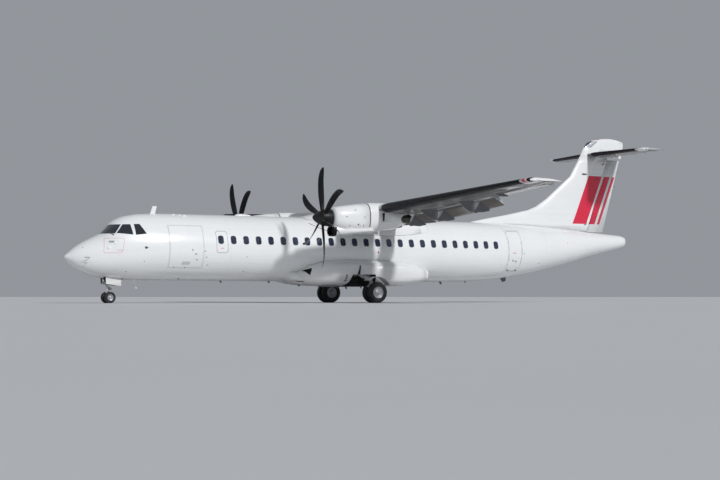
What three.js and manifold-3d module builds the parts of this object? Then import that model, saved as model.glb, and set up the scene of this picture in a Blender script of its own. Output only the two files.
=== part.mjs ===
import * as THREE from 'three';
import { mergeVertices } from 'three/addons/utils/BufferGeometryUtils.js';
import Module from 'manifold-3d';

// Twin turboprop regional airliner: high wing, T tail, gear in belly fairings, flaps down.
// Millimetres. Stations run aft from the nose tip, y is positive to starboard, and heights
// are measured from the axis of the round cabin. The last lines move all of it to the floor.

const wasm = await Module();
wasm.setup();

// Overall sizes
const lengthOverall = 27166;
const cabinAxisHeight = 2130;
const wingHalfSpan = 13525;
const tailplaneHalfSpan = 3655;
const propellerDiameter = 3930;
const engineSpan = 4050;
const thrustLine = 1210;
const mainWheelRadius = 430;
const mainWheelStation = 12540;
const mainTrackHalf = 2050;
const noseWheelRadius = 225;
const noseWheelStation = 1770;

// Fits and fineness
const seam = 0.3;
const movingGap = 8;
const endGap = 14;
const axleGap = 9;
const hullSides = 32;
const finelySkinnedAhead = 2300;
const nacelleSides = 26;
const port = -1;
const starboard = 1;

// Paints
const paints = {
  white: { color: 0xf2f3f1, roughness: 0.28, metalness: 0.0 },
  grey: { color: 0xb9bdbd, roughness: 0.45, metalness: 0.0 },
  dark: { color: 0x14161a, roughness: 0.35, metalness: 0.0 },
  glass: { color: 0x0d1622, roughness: 0.08, metalness: 0.0 },
  rubber: { color: 0x171717, roughness: 0.85, metalness: 0.0 },
  steel: { color: 0x8f9294, roughness: 0.4, metalness: 0.9 },
};

// Fuselage sections: station, half width, top, bottom, height of the widest line, fullness of the crown
const hull = [
  [0, 60, -300, -398, -350, 2.0],
  [30, 115, -262, -436, -353, 2.0],
  [100, 195, -205, -503, -356, 2.0],
  [360, 425, 18, -738, -358, 2.0],
  [700, 630, 240, -935, -345, 2.05],
  [1100, 800, 440, -1080, -310, 2.05],
  [1350, 885, 560, -1135, -280, 2.1],
  [1600, 960, 790, -1170, -250, 2.15],
  [1900, 1050, 1090, -1200, -210, 2.2],
  [2300, 1150, 1275, -1220, -160, 2.15],
  [2800, 1250, 1375, -1240, -100, 2.1],
  [3500, 1350, 1425, -1240, -50, 2.0],
  [4300, 1410, 1432.5, -1240, 0, 2.0],
  [5200, 1432.5, 1432.5, -1240, 0, 2.0],
  [16500, 1432.5, 1432.5, -1240, 0, 2.0],
  [18000, 1375, 1432.5, -1210, 20, 2.0],
  [19000, 1295, 1430, -1165, 50, 2.0],
  [20000, 1200, 1415, -1075, 100, 2.0],
  [21000, 1095, 1390, -915, 170, 2.0],
  [22000, 975, 1345, -725, 250, 2.0],
  [23000, 850, 1285, -500, 340, 2.0],
  [24000, 720, 1205, -260, 440, 2.0],
  [25000, 585, 1110, 0, 540, 2.0],
  [26000, 440, 1045, 220, 620, 2.0],
  [26800, 320, 990, 395, 680, 2.0],
  [27050, 240, 940, 470, 700, 2.0],
  [lengthOverall, 50, 780, 640, 710, 2.0],
];

// Stations where the fuselage pieces meet
const hullPieces = [
  { name: 'radome', from: 0, to: 700 },
  { name: 'nose_section', from: 700, to: 5500 },
  { name: 'cabin_front', from: 5500, to: 9700 },
  { name: 'cabin_centre', from: 9700, to: 15600 },
  { name: 'cabin_rear', from: 15600, to: 21000 },
  { name: 'tail_section', from: 21000, to: lengthOverall },
];

// Blade aerials on the fuselage, as outlines in station and height
const aerials = [
  [[3470, 1380], [3680, 1380], [3760, 1720], [3590, 1720]],
  [[2690, -1200], [2840, -1200], [2950, -1550], [2890, -1550]],
];
const aerialHalfThickness = 12;

// Doors and hatches: front edge, width, sill and head heights, side, panel and recess depths
const doors = {
  cargo_door: {
    front: 3800, width: 1400, sill: -750, head: 930, side: port, panel: 70, recess: 78,
  },
  passenger_door: {
    front: 19790, width: 770, sill: -760, head: 1060, side: port, panel: 60, recess: 190,
  },
  service_door: {
    front: 19790, width: 690, sill: -380, head: 900, side: starboard, panel: 50, recess: 51,
  },
  emergency_exit_left: {
    front: 5740, width: 510, sill: -150, head: 740, side: port, panel: 50, recess: 51,
  },
  emergency_exit_right: {
    front: 5740, width: 510, sill: -150, head: 740, side: starboard, panel: 50, recess: 51,
  },
};
const openingDoors = ['cargo_door', 'passenger_door'];
const doorWedgeReach = [700, 2600];
const stairTreads = 5;
const treadDepth = 105;
const treadHalfThickness = 18;
const treadMargin = 90;

// Cockpit panes: corners in station and height, and how close to the centre plane each may come
const panes = [
  { name: 'windscreen', inner: 40, corners: [[1100, 570], [1757, 570], [2034, 933], [1300, 933]] },
  { name: 'side_window_front', inner: 300, corners: [[1805, 584], [2086, 933], [2366, 941], [2406, 528]] },
  { name: 'side_window_rear', inner: 300, corners: [[2505, 520], [2496, 947], [2710, 957], [2924, 566]] },
];
const paneDepth = 30;

// Wing sections: span position, leading edge station and height, chord, thickness ratio
const wing = [
  [0, 11300, 1600, 2600, 0.175],
  [4600, 11330, 1620, 2550, 0.175],
  [12800, 12230, 2165, 1510, 0.13],
  [13250, 12330, 2200, 1370, 0.12],
  [wingHalfSpan, 12640, 2195, 1060, 0.09],
];
const wingBreak = 4600;
const wingIncidence = THREE.MathUtils.degToRad(2);
const wingCamber = 0.018;

// Trailing surfaces of one wing: inner and outer ends along the span, and where the chord is cut
const flapCut = 0.755;
const flaps = [
  { name: 'flap_inner', from: 1295, to: 4560, hinges: [1700, 3650] },
  { name: 'flap_outer', from: 4650, to: 9500, hinges: [5850, 8400] },
];
const flapDeflection = THREE.MathUtils.degToRad(33);
const flapPivotChord = 0.765;
const flapPivotDrop = 400;
const keelHalfWidth = 135;
const keelRidge = 14;
const aileron = { from: 9560, to: 13000, cut: 0.73 };
const aileronKeel = { place: 10450, halfWidth: 60, depth: 110 };

// Tailplane and elevators
const tailplane = [
  [0, 24950, 4730, 1900, 0.12],
  [3450, 25350, 4730, 1180, 0.11],
  [tailplaneHalfSpan, 25500, 4730, 1030, 0.08],
];
const elevator = { from: 430, to: 3400, cut: 0.66 };

// Fin sections: height, leading edge station, half thickness
const fin = [
  [1150, 17600, 120],
  [1450, 18600, 140],
  [1620, 19440, 150],
  [1800, 20440, 155],
  [2050, 21630, 155],
  [2220, 22080, 155],
  [2600, 22680, 150],
  [3200, 23420, 145],
  [3670, 24010, 140],
  [4320, 24420, 135],
  [4600, 24580, 130],
];
const finCap = [
  [4600, 24580, 26960, 130],
  [5040, 24810, 27080, 120],
  [5270, 25010, 27110, 100],
  [5400, 25310, 27110, 75],
  [5520, 25980, 26800, 30],
];
const rudderGap = 14;
const rudderHingeFoot = { station: 24970, height: 1050 };
const rudderHingeHead = { station: 26180, height: 4540 };
const rudder = { foot: 1130, head: 4520, footTrail: 25880, headTrail: 26880, halfFoot: 120, halfHead: 85 };

// Wing to fuselage fairing: station, half width, top, foot
const saddle = [
  [10100, 700, 1440, 1150],
  [10600, 1080, 1560, 900],
  [11060, 1230, 1650, 760],
  [11800, 1270, 1700, 705],
  [13900, 1270, 1600, 700],
  [14600, 1240, 1500, 740],
  [15300, 1190, 1447, 815],
];

const archSteps = 16;

// Main gear fairing under the belly: station, half width, top, bottom
const belly = [
  [9450, 1250, -820, -1255],
  [9900, 1560, -520, -1360],
  [10500, 1760, -350, -1430],
  [11500, 1870, -290, -1470],
  [13500, 1870, -290, -1470],
  [14300, 1830, -370, -1440],
  [14900, 1740, -480, -1350],
  [15350, 1560, -640, -1250],
];
const bellySplit = 760;

// Main gear bay: side outline in station and height, then a deeper well above it
const gearBay = [[11430, -1700], [11440, -1400], [11620, -960], [12700, -960], [12760, -1700]];
const gearBayInner = 820;
const gearWell = { front: 11640, rear: 12680, outer: 1780, floor: -970, ceiling: -660 };
const gearSlot = [[11825, -970], [11965, -970], [12020, -575], [11985, -575]];
const gearSlotDepth = 190;

// Cooling inlet in the shoulder of each gear fairing, as [station, y, height] on the skin
const inletCorners = [[9600, 1170, -800], [9916, 1505, -700], [9834, 1509, -1003]];
const inletDepth = 170;

// Engine nacelle: station, half width, top, bottom
const nacelle = [
  [9470, 365, 1575, 850],
  [9560, 430, 1640, 800],
  [9900, 490, 1700, 700],
  [10420, 530, 1770, 640],
  [11000, 550, 1845, 640],
  [11380, 550, 1860, 690],
  [12180, 540, 1850, 800],
  [12700, 450, 1700, 1010],
  [13090, 290, 1540, 1350],
];
const cowlEnd = 11140;
const intakeDuct = [
  [9440, 275, 905, 495],
  [9560, 300, 920, 490],
  [9900, 350, 900, 515],
  [10420, 420, 860, 570],
  [11000, 470, 840, 636],
  [cowlEnd, 480, 830, 650],
];
const intakeMouth = { halfWidth: 240, top: 870, bottom: 530, depth: 9900 };
const cowlGroove = { from: 10915, to: 10955, depth: 16, foot: 865 };
const sideVent = [[11470, 1430], [11590, 1430], [11570, 1110], [11500, 1110]];
const sideVentDepth = 35;
const engineBay = { front: 9760, rear: 11320, wall: 70 };
const engineBlock = { front: 9860, rear: 11300, halfWidth: 280, bottom: 880, top: 1500 };
const exhaust = {
  front: 12050, rear: 12760, height: 1240, frontShift: 250, rearShift: 400, radius: 172, bore: 146,
};
const exhaustBore = { front: 12350, rear: 12960, frontShift: 310, rearShift: 442 };

// Propeller: spinner profile as [distance behind the tip, radius]
const spinnerTip = 8650;
const spinnerProfile = [[0, 0], [20, 52], [90, 130], [200, 208], [320, 266], [345, 276]];
const hubProfile = [[350, 277], [440, 305], [600, 332], [780, 340]];
const bladePlane = 9090;
const bladeCount = 6;
const bladePhase = { left: -5, right: -24 };
// Blade sections: radius, chord, sweep against the rotation, pitch from the disc, thickness ratio
const blade = [
  [240, 150, 0, 62, 0.6],
  [420, 175, 0, 60, 0.32],
  [700, 220, -25, 54, 0.16],
  [1050, 250, -45, 46, 0.105],
  [1450, 245, -25, 39, 0.075],
  [1700, 230, 45, 35.5, 0.06],
  [1880, 165, 135, 33, 0.055],
  [propellerDiameter / 2, 60, 215, 32, 0.055],
];

// Wheels
const mainWheel = { radius: mainWheelRadius, width: 250, offset: 210, hub: 60, rim: 235 };
const noseWheel = { radius: noseWheelRadius, width: 190, offset: 190, hub: 40, rim: 115 };
const mainAxleHeight = mainWheelRadius - cabinAxisHeight;
const noseAxleHeight = noseWheelRadius - cabinAxisHeight;

// Main gear leg and the curved door that it carries over its wheels
const legPivot = { y: 1240, height: -900, radius: 85 };
const legElbow = { station: mainWheelStation - 190, rise: 520 };
const legDoor = { radius: 640, thickness: 16, from: 12130, to: 13110, inner: 1900, outer: 2360 };
const legDoorSteps = 10;

// Nose gear
const noseBay = { front: 1500, rear: 2260, halfWidth: 340, ceiling: -700 };
const noseDoor = [[1550, -1090], [2180, -1130], [2175, -1455], [1565, -1375]];
const noseDoorThickness = 20;
const steeringStation = 1720;
const steeringTop = -1440;

const airliner = new THREE.Group();

// A closed three.js geometry becomes a solid for cutting and joining
function toSolid(geometry) {
  const bare = geometry.clone();
  bare.deleteAttribute('normal');
  bare.deleteAttribute('uv');
  const merged = mergeVertices(bare, 0.001);
  const corners = merged.index.array;
  const kept = [];
  for (let i = 0; i < corners.length; i += 3) {
    const [a, b, c] = [corners[i], corners[i + 1], corners[i + 2]];
    if (a !== b && b !== c && c !== a) kept.push(a, b, c);
  }
  const mesh = new wasm.Mesh({
    numProp: 3,
    vertProperties: new Float32Array(merged.attributes.position.array),
    triVerts: new Uint32Array(kept),
  });
  const solid = new wasm.Manifold(mesh);
  return solid.volume() < 0 ? toSolid(flipped(merged)) : solid;
}

function flipped(geometry) {
  const turned = geometry.clone();
  const corners = Array.from(turned.index.array);
  for (let i = 0; i < corners.length; i += 3) {
    [corners[i], corners[i + 1]] = [corners[i + 1], corners[i]];
  }
  turned.setIndex(corners);
  return turned;
}

function toGeometry(solid) {
  const mesh = solid.getMesh();
  const geometry = new THREE.BufferGeometry();
  const count = mesh.vertProperties.length / mesh.numProp;
  const places = new Float32Array(count * 3);
  for (let i = 0; i < count; i += 1) {
    for (let axis = 0; axis < 3; axis += 1) {
      places[i * 3 + axis] = mesh.vertProperties[i * mesh.numProp + axis];
    }
  }
  geometry.setAttribute('position', new THREE.BufferAttribute(places, 3));
  geometry.setIndex(Array.from(mesh.triVerts));
  geometry.computeVertexNormals();
  return geometry;
}

function largestPiece(solid) {
  const pieces = solid.decompose();
  return pieces.reduce((best, piece) => (piece.volume() > best.volume() ? piece : best));
}

// Cuts one solid out of another and leaves a fine gap between them
function carved(body, cutter) {
  const shifts = [0, 1, 2].flatMap((axis) => [-seam, seam].map((step) => [0, 0, 0].with(axis, step)));
  return shifts.reduce((rest, shift) => rest.subtract(cutter.translate(shift)), body);
}

function mirrored(solid, hand) {
  return hand === port ? solid.mirror([0, 1, 0]) : solid;
}

function side(hand) {
  return hand === port ? 'left' : 'right';
}

function add(name, solid, paint) {
  const mesh = new THREE.Mesh(toGeometry(solid), new THREE.MeshStandardMaterial(paints[paint]));
  mesh.name = name;
  airliner.add(mesh);
}

// A solid skinned over closed rings of points, with flat ends
function loft(rings) {
  const around = rings[0].length;
  const places = [];
  const corners = [];
  for (const ring of rings) {
    for (const point of ring) places.push(point.x, point.y, point.z);
  }
  for (let r = 0; r < rings.length - 1; r += 1) {
    for (let k = 0; k < around; k += 1) {
      const a = r * around + k;
      const b = r * around + ((k + 1) % around);
      corners.push(a, b, a + around, b, b + around, a + around);
    }
  }
  const ends = [[rings[0], 0, true], [rings.at(-1), (rings.length - 1) * around, false]];
  for (const [ring, start, first] of ends) {
    const middle = places.length / 3;
    const centre = ring.reduce((sum, point) => sum.add(point), new THREE.Vector3()).divideScalar(around);
    places.push(centre.x, centre.y, centre.z);
    for (let k = 0; k < around; k += 1) {
      const next = (k + 1) % around;
      corners.push(middle, ...(first ? [start + next, start + k] : [start + k, start + next]));
    }
  }
  const geometry = new THREE.BufferGeometry();
  geometry.setAttribute('position', new THREE.Float32BufferAttribute(places, 3));
  geometry.setIndex(corners);
  return toSolid(geometry);
}

function box(x0, x1, y0, y1, z0, z1) {
  const geometry = new THREE.BoxGeometry(x1 - x0, y1 - y0, z1 - z0);
  geometry.translate((x0 + x1) / 2, (y0 + y1) / 2, (z0 + z1) / 2);
  return toSolid(geometry);
}

// An outline in station and height, pushed across the aircraft
function slab(points, y0, y1) {
  const shape = new THREE.Shape(points.map(([x, z]) => new THREE.Vector2(x, z)));
  const geometry = new THREE.ExtrudeGeometry(shape, { depth: y1 - y0, bevelEnabled: false });
  geometry.rotateX(Math.PI / 2);
  geometry.translate(0, y1, 0);
  return toSolid(geometry);
}

// A round rod between two points
function rod(from, to, radius, sides = 12) {
  const start = new THREE.Vector3(...from);
  const along = new THREE.Vector3(...to).sub(start);
  const geometry = new THREE.CylinderGeometry(radius, radius, along.length(), sides);
  const upright = new THREE.Vector3(0, 1, 0);
  geometry.applyQuaternion(new THREE.Quaternion().setFromUnitVectors(upright, along.clone().normalize()));
  const middle = start.addScaledVector(along, 0.5);
  geometry.translate(middle.x, middle.y, middle.z);
  return toSolid(geometry);
}

// A turned piece about an axis along X: profile as [distance, radius]
function turnedAlongX(profile, station, y, z, sides) {
  const geometry = new THREE.LatheGeometry(profile.map(([x, r]) => new THREE.Vector2(r, x)), sides);
  geometry.rotateZ(-Math.PI / 2);
  geometry.translate(station, y, z);
  return toSolid(geometry);
}

// A turned piece about an axis along Y, standing on the middle of a facet
function turnedAlongY(profile, station, y, z, sides) {
  const toCorner = 1 / Math.cos(Math.PI / sides);
  const points = profile.map(([d, r]) => new THREE.Vector2(r * toCorner, d));
  const geometry = new THREE.LatheGeometry(points, sides, Math.PI / sides);
  geometry.translate(station, y, z);
  return toSolid(geometry);
}

// A row read from a table between its own rows; the first column is the position
function read(table, position) {
  const next = table.findIndex((row) => row[0] > position);
  if (next === 0) return [position, ...table[0].slice(1)];
  if (next < 0) return [position, ...table.at(-1).slice(1)];
  const [before, after] = [table[next - 1], table[next]];
  const share = (position - before[0]) / (after[0] - before[0]);
  return before.map((value, column) => value + share * (after[column] - value));
}

// Slope of one column at a row, level where the column turns back
function slope(table, index, column) {
  const rise = (i) => (table[i + 1][column] - table[i][column]) / (table[i + 1][0] - table[i][0]);
  if (index === 0) return rise(0);
  if (index === table.length - 1) return rise(index - 1);
  const [before, after] = [rise(index - 1), rise(index)];
  return before * after <= 0 ? 0 : (2 * before * after) / (before + after);
}

// The same as read, with smooth curves between the rows
function readSmooth(table, position) {
  const next = table.findIndex((row) => row[0] > position);
  if (next <= 0) return read(table, position);
  const step = table[next][0] - table[next - 1][0];
  const t = (position - table[next - 1][0]) / step;
  return table[next].map((value, column) => {
    if (column === 0) return position;
    const start = table[next - 1][column];
    const leave = slope(table, next - 1, column) * step;
    const arrive = slope(table, next, column) * step;
    return (2 * t ** 3 - 3 * t ** 2 + 1) * start + (t ** 3 - 2 * t ** 2 + t) * leave
      + (3 * t ** 2 - 2 * t ** 3) * value + (t ** 3 - t ** 2) * arrive;
  });
}

function between(table, from, to) {
  return [from, ...table.map((row) => row[0]).filter((place) => place > from + 1 && place < to - 1), to];
}

// Fuselage stations: each table row, with one more between rows where the nose curves
function hullStations() {
  return hull.flatMap(([station], index) => {
    const rows = [[station]];
    if (station < finelySkinnedAhead) rows.push([(station + hull[index + 1][0]) / 2]);
    return rows;
  });
}

function hullRing(station, inset) {
  const [, halfWidth, top, bottom, waist, fullness] = readSmooth(hull, station);
  const ring = [];
  for (let k = 0; k < hullSides; k += 1) {
    const angle = (2 * Math.PI * k) / hullSides;
    const [across, up] = [Math.sin(angle), Math.cos(angle)];
    const power = up > 0 ? 2 / fullness : 1;
    const rise = up > 0 ? top - inset - waist : waist - bottom - inset;
    ring.push(new THREE.Vector3(
      station,
      (halfWidth - inset) * Math.sign(across) * Math.abs(across) ** power,
      waist + rise * Math.sign(up) * Math.abs(up) ** power,
    ));
  }
  return ring;
}

function hullSolid(from, to, inset = 0) {
  return loft(between(hullStations(), from, to).map((station) => hullRing(station, inset)));
}

function hullHalfWidth(station, height) {
  const [, halfWidth, top, bottom, waist, fullness] = readSmooth(hull, station);
  const up = height > waist;
  const share = Math.min(1, Math.abs(height - waist) / (up ? top - waist : waist - bottom));
  const power = up ? fullness : 2;
  return halfWidth * (1 - share ** power) ** (1 / power);
}

// A door's cutter: radial head and sill, ends square to the skin, grown by a gap
function doorCutter(door, grow) {
  const middle = (door.sill + door.head) / 2;
  const [y0, y1] = [0, door.width].map((step) => hullHalfWidth(door.front + step, middle));
  const yaw = Math.atan2(y1 - y0, door.width) * door.side;
  const middleStation = door.front + door.width / 2;
  const angles = [door.sill, door.head].map((z) => Math.atan2(z, hullHalfWidth(middleStation, z)));
  const widen = grow / hullHalfWidth(door.front, middle);
  const [near, far] = doorWedgeReach;
  const [low, high] = [angles[0] - widen, angles[1] + widen];
  const wedge = [[near, low], [far, low], [far, high], [near, high]].map(([radius, angle]) => (
    new THREE.Vector2(radius * Math.cos(angle) * door.side, radius * Math.sin(angle))
  ));
  const geometry = new THREE.ExtrudeGeometry(new THREE.Shape(wedge), {
    depth: door.width + 2 * grow, bevelEnabled: false,
  });
  geometry.translate(0, 0, -door.width / 2 - grow);
  geometry.applyMatrix4(new THREE.Matrix4().makeBasis(
    new THREE.Vector3(0, 1, 0), new THREE.Vector3(0, 0, 1), new THREE.Vector3(1, 0, 0),
  ));
  const pivot = door.side * (y0 + y1) / 2;
  geometry.translate(0, -pivot, 0);
  geometry.rotateZ(yaw);
  geometry.translate(middleStation, pivot, 0);
  return toSolid(geometry);
}

function hullNear(door, inset) {
  return hullSolid(door.front - 300, door.front + door.width + 300, inset);
}

function doorPanel(door) {
  const shell = hullNear(door, 0).intersect(doorCutter(door, 0));
  return largestPiece(shell.subtract(hullNear(door, door.panel)));
}

function doorRecess(door, gap) {
  return doorCutter(door, gap).subtract(hullNear(door, door.recess));
}

// Treads on the inner face of the passenger door
function stairs(door) {
  const shell = hullNear(door, door.panel / 2).subtract(hullNear(door, door.panel + treadDepth));
  const [from, to] = [door.front + treadMargin, door.front + door.width - treadMargin];
  const rise = (door.head - door.sill) / (stairTreads + 0.6);
  const treads = Array.from({ length: stairTreads }, (_, k) => {
    const height = door.sill + (k + 0.8) * rise;
    const [low, high] = [height - treadHalfThickness, height + treadHalfThickness];
    return box(from, to, -1500, -700, low, high).intersect(shell);
  });
  return treads.reduce((all, tread) => all.add(tread));
}

function grownOutline(corners, grow) {
  const middle = corners.reduce((sum, [a, b]) => [sum[0] + a / 4, sum[1] + b / 4], [0, 0]);
  return corners.map(([a, b]) => [a + Math.sign(a - middle[0]) * grow, b + Math.sign(b - middle[1]) * grow]);
}

function paneCutter(pane, hand, grow) {
  return mirrored(slab(grownOutline(pane.corners, grow), pane.inner - grow, 2200), hand);
}

// Wing, tailplane and fin sections: share of the chord and of the thickness
function foilHalfThickness(share) {
  const root = Math.sqrt(share);
  const front = 0.2969 * root - 0.126 * share;
  const rear = 0.2843 * share ** 3 - 0.3516 * share ** 2 - 0.1036 * share ** 4;
  return 5 * (front + rear) + 0.02 * share;
}

const foilShares = [0, 0.004, 0.018, 0.055, 0.12, 0.25, 0.42, 0.6, 0.8, 1];

function foilPoint(row, share, upper, trim = 0) {
  const [y, lead, height, chord, thickness] = row;
  const camber = trim * 4 * share * (1 - share);
  const half = (upper ? 1 : -1) * foilHalfThickness(share) * thickness;
  const [along, up] = [share * chord, (camber + half) * chord];
  const tilt = trim ? wingIncidence : 0;
  return new THREE.Vector3(
    lead + along * Math.cos(tilt) + up * Math.sin(tilt),
    y,
    height - along * Math.sin(tilt) + up * Math.cos(tilt),
  );
}

function foilRing(row, trim) {
  const upper = foilShares.slice(1).map((share) => foilPoint(row, share, true, trim));
  const lower = foilShares.slice(1).map((share) => foilPoint(row, share, false, trim)).reverse();
  return [foilPoint(row, 0, true, trim), ...upper, ...lower];
}

// A trailing surface: round nose about its hinge, then the foil to the trailing edge
function trailingRing(row, cut, trim) {
  const upper = foilPoint(row, cut, true, trim);
  const lower = foilPoint(row, cut, false, trim);
  const hinge = upper.clone().add(lower).multiplyScalar(0.5);
  const radius = upper.distanceTo(lower) / 2;
  const start = Math.atan2(lower.z - hinge.z, lower.x - hinge.x);
  const nose = [0.2, 0.4, 0.6, 0.8].map((share) => new THREE.Vector3(
    hinge.x + radius * Math.cos(start - share * Math.PI),
    row[0],
    hinge.z + radius * Math.sin(start - share * Math.PI),
  ));
  const shares = [cut, (cut + 1) / 2, 1];
  return [
    ...shares.map((share) => foilPoint(row, share, true, trim)),
    ...shares.map((share) => foilPoint(row, share, false, trim)).reverse(),
    ...nose,
  ];
}

function spanSolid(table, from, to, ringOf) {
  return loft(between(table, from, to).map((place) => ringOf(read(table, place))));
}

// The bay behind the chord cut, between two span positions
function bayCutter(table, from, to, cut, trim) {
  return spanSolid(table, from - endGap, to + endGap, (row) => {
    const upper = foilPoint(row, cut, true, trim);
    const lower = foilPoint(row, cut, false, trim);
    const front = Math.min(upper.x, lower.x) - upper.distanceTo(lower) / 2 - movingGap;
    const [place, lead, height, chord] = row;
    const rear = lead + chord * 1.2;
    return [[front, height - 400], [front, height + 300], [rear, height + 300], [rear, height - 400]]
      .map(([x, z]) => new THREE.Vector3(x, place, z));
  });
}

// A keel fairing of V sections: rows of station, half width, top and bottom
function keel(rows, place) {
  return loft(rows.map(([x, half, top, bottom]) => {
    const shoulder = top - 0.4 * (top - bottom);
    const ring = [
      [-half, top], [half, top], [half * 0.75, shoulder],
      [keelRidge, bottom], [-keelRidge, bottom], [-half * 0.75, shoulder],
    ];
    return ring.map(([across, z]) => new THREE.Vector3(x, place + across, z));
  }));
}

// The flap pivot under the wing at a span position
function flapPivot(place) {
  const middle = foilPoint(read(wing, place), flapPivotChord, false, wingCamber);
  return new THREE.Vector3(middle.x, place, middle.z - flapPivotDrop);
}

function underWing(place, share) {
  return foilPoint(read(wing, place), share, false, wingCamber);
}

// The keel that moves with the flap, as it lies with the flap up
function movingKeel(place) {
  const pivot = flapPivot(place);
  const shares = [flapPivotChord, 0.84, 0.93, 0.985];
  const [nose, middle, late, trail] = shares.map((share) => underWing(place, share));
  return keel([
    [pivot.x - 45, keelHalfWidth * 0.8, nose.z + 26, pivot.z + 8],
    [pivot.x - 12, keelHalfWidth * 0.85, nose.z + 30, pivot.z - 38],
    [pivot.x + 90, keelHalfWidth * 0.9, nose.z + 30, pivot.z - 34],
    [middle.x, keelHalfWidth * 0.85, middle.z + 22, pivot.z + 60],
    [late.x, keelHalfWidth * 0.6, late.z + 12, pivot.z + 190],
    [trail.x + 75, keelHalfWidth * 0.12, trail.z - 6, trail.z - 50],
  ], place);
}

// The keel that stays under the wing ahead of each flap pivot
function fixedKeel(place) {
  const pivot = flapPivot(place);
  const [front, second, third, rear] = [0.38, 0.46, 0.58, 0.69].map((share) => underWing(place, share));
  return keel([
    [front.x, 16, front.z + 45, front.z + 5],
    [second.x, keelHalfWidth * 0.6, second.z + 45, second.z - 90],
    [third.x, keelHalfWidth, third.z + 40, pivot.z + 70],
    [rear.x, keelHalfWidth, rear.z + 26, pivot.z - 30],
    [rear.x + 20, keelHalfWidth, rear.z - 18, pivot.z - 36],
    [pivot.x - 62, keelHalfWidth * 0.85, rear.z - 18, pivot.z - 40],
  ], place);
}

function flapSolid(flap) {
  const body = spanSolid(wing, flap.from, flap.to, (row) => trailingRing(row, flapCut, wingCamber));
  const whole = flap.hinges.reduce((rest, place) => rest.add(movingKeel(place)), body);
  const start = flapPivot(flap.from);
  const axis = flapPivot(flap.to).sub(start).normalize();
  const turn = new THREE.Matrix4().makeTranslation(start.x, start.y, start.z)
    .multiply(new THREE.Matrix4().makeRotationAxis(axis, flapDeflection))
    .multiply(new THREE.Matrix4().makeTranslation(-start.x, -start.y, -start.z));
  const geometry = toGeometry(whole);
  geometry.deleteAttribute('normal');
  geometry.applyMatrix4(turn);
  return toSolid(geometry);
}

// Small keel under the aileron hinge, on the wing ahead of it
function hingeKeel({ place, halfWidth, depth }) {
  const [front, middle, rear] = [0.5, 0.6, 0.68].map((share) => underWing(place, share));
  return keel([
    [front.x, keelRidge, front.z + 30, front.z - 2],
    [middle.x, halfWidth, middle.z + 30, middle.z - depth * 0.8],
    [rear.x, halfWidth, rear.z + 12, rear.z - depth],
    [rear.x + 260, keelRidge, rear.z - 60, rear.z - 100],
  ], place);
}

function addWing() {
  const halves = [];
  for (const hand of [port, starboard]) {
    const ringOf = (row) => foilRing(row, wingCamber);
    const [innerFlap, outerFlap] = flaps;
    let outer = spanSolid(wing, wingBreak + seam / 2, wingHalfSpan, ringOf);
    outer = outer.subtract(bayCutter(wing, wingBreak - 50, outerFlap.to, flapCut, wingCamber));
    outer = outer.subtract(bayCutter(wing, aileron.from, aileron.to, aileron.cut, wingCamber));
    outer = outerFlap.hinges.reduce((rest, place) => rest.add(fixedKeel(place)), outer);
    outer = outer.add(hingeKeel(aileronKeel));
    add(`wing_${side(hand)}`, mirrored(outer, hand), 'grey');
    let inner = spanSolid(wing, 0, wingBreak - seam / 2, ringOf);
    inner = inner.subtract(bayCutter(wing, innerFlap.from, wingBreak + 50, flapCut, wingCamber));
    inner = innerFlap.hinges.reduce((rest, place) => rest.add(fixedKeel(place)), inner);
    halves.push(mirrored(inner, hand));
    for (const flap of flaps) add(`${flap.name}_${side(hand)}`, mirrored(flapSolid(flap), hand), 'grey');
    const trailing = (row) => trailingRing(row, aileron.cut, wingCamber);
    add(`aileron_${side(hand)}`, mirrored(spanSolid(wing, aileron.from, aileron.to, trailing), hand), 'grey');
  }
  const centre = halves[0].add(halves[1]);
  add('wing_centre', centre, 'grey');
  return centre;
}

function addTailplane() {
  const halves = [];
  for (const hand of [port, starboard]) {
    const whole = spanSolid(tailplane, 0, tailplaneHalfSpan, (row) => foilRing(row, 0));
    const bay = bayCutter(tailplane, elevator.from, elevator.to, elevator.cut, 0);
    halves.push(mirrored(whole.subtract(bay), hand));
    const trailing = (row) => trailingRing(row, elevator.cut, 0);
    const hinged = spanSolid(tailplane, elevator.from, elevator.to, trailing);
    add(`elevator_${side(hand)}`, mirrored(hinged, hand), 'grey');
  }
  const centre = halves[0].add(halves[1]);
  add('tailplane', centre, 'white');
  return centre;
}

// An upright section from shares of its length and of its half thickness
function uprightRing(height, lead, trail, half, shares, widths) {
  const points = (hand) => shares.map((share, i) => new THREE.Vector3(
    lead + share * (trail - lead), hand * widths[i] * half, height,
  ));
  return [...points(starboard), ...points(port).slice(1).reverse()];
}

function hingeStation(height) {
  const share = (height - rudderHingeFoot.height) / (rudderHingeHead.height - rudderHingeFoot.height);
  return rudderHingeFoot.station + share * (rudderHingeHead.station - rudderHingeFoot.station);
}

function rudderHalf(height) {
  const share = (height - rudder.foot) / (rudder.head - rudder.foot);
  return rudder.halfFoot + share * (rudder.halfHead - rudder.halfFoot);
}

function addFin(hullTail, tailplaneBody) {
  const shares = [0, 0.004, 0.02, 0.07, 0.2, 0.5, 1];
  const widths = [0, 0.14, 0.32, 0.55, 0.82, 1, 0.9];
  const lower = loft(fin.map(([height, lead, half]) => {
    const trail = hingeStation(height) - rudderHalf(height) - rudderGap;
    return uprightRing(height, lead, trail, half, shares, widths);
  }));
  const capShares = [0, 0.01, 0.04, 0.14, 0.4, 0.75, 1];
  const capWidths = [0, 0.24, 0.5, 0.8, 1, 0.8, 0.12];
  const cap = loft(finCap.map(([height, lead, trail, half]) => (
    uprightRing(height, lead, trail, half, capShares, capWidths)
  )));
  add('fin', largestPiece(carved(lower.add(cap).subtract(hullTail), tailplaneBody)), 'white');
}

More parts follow.
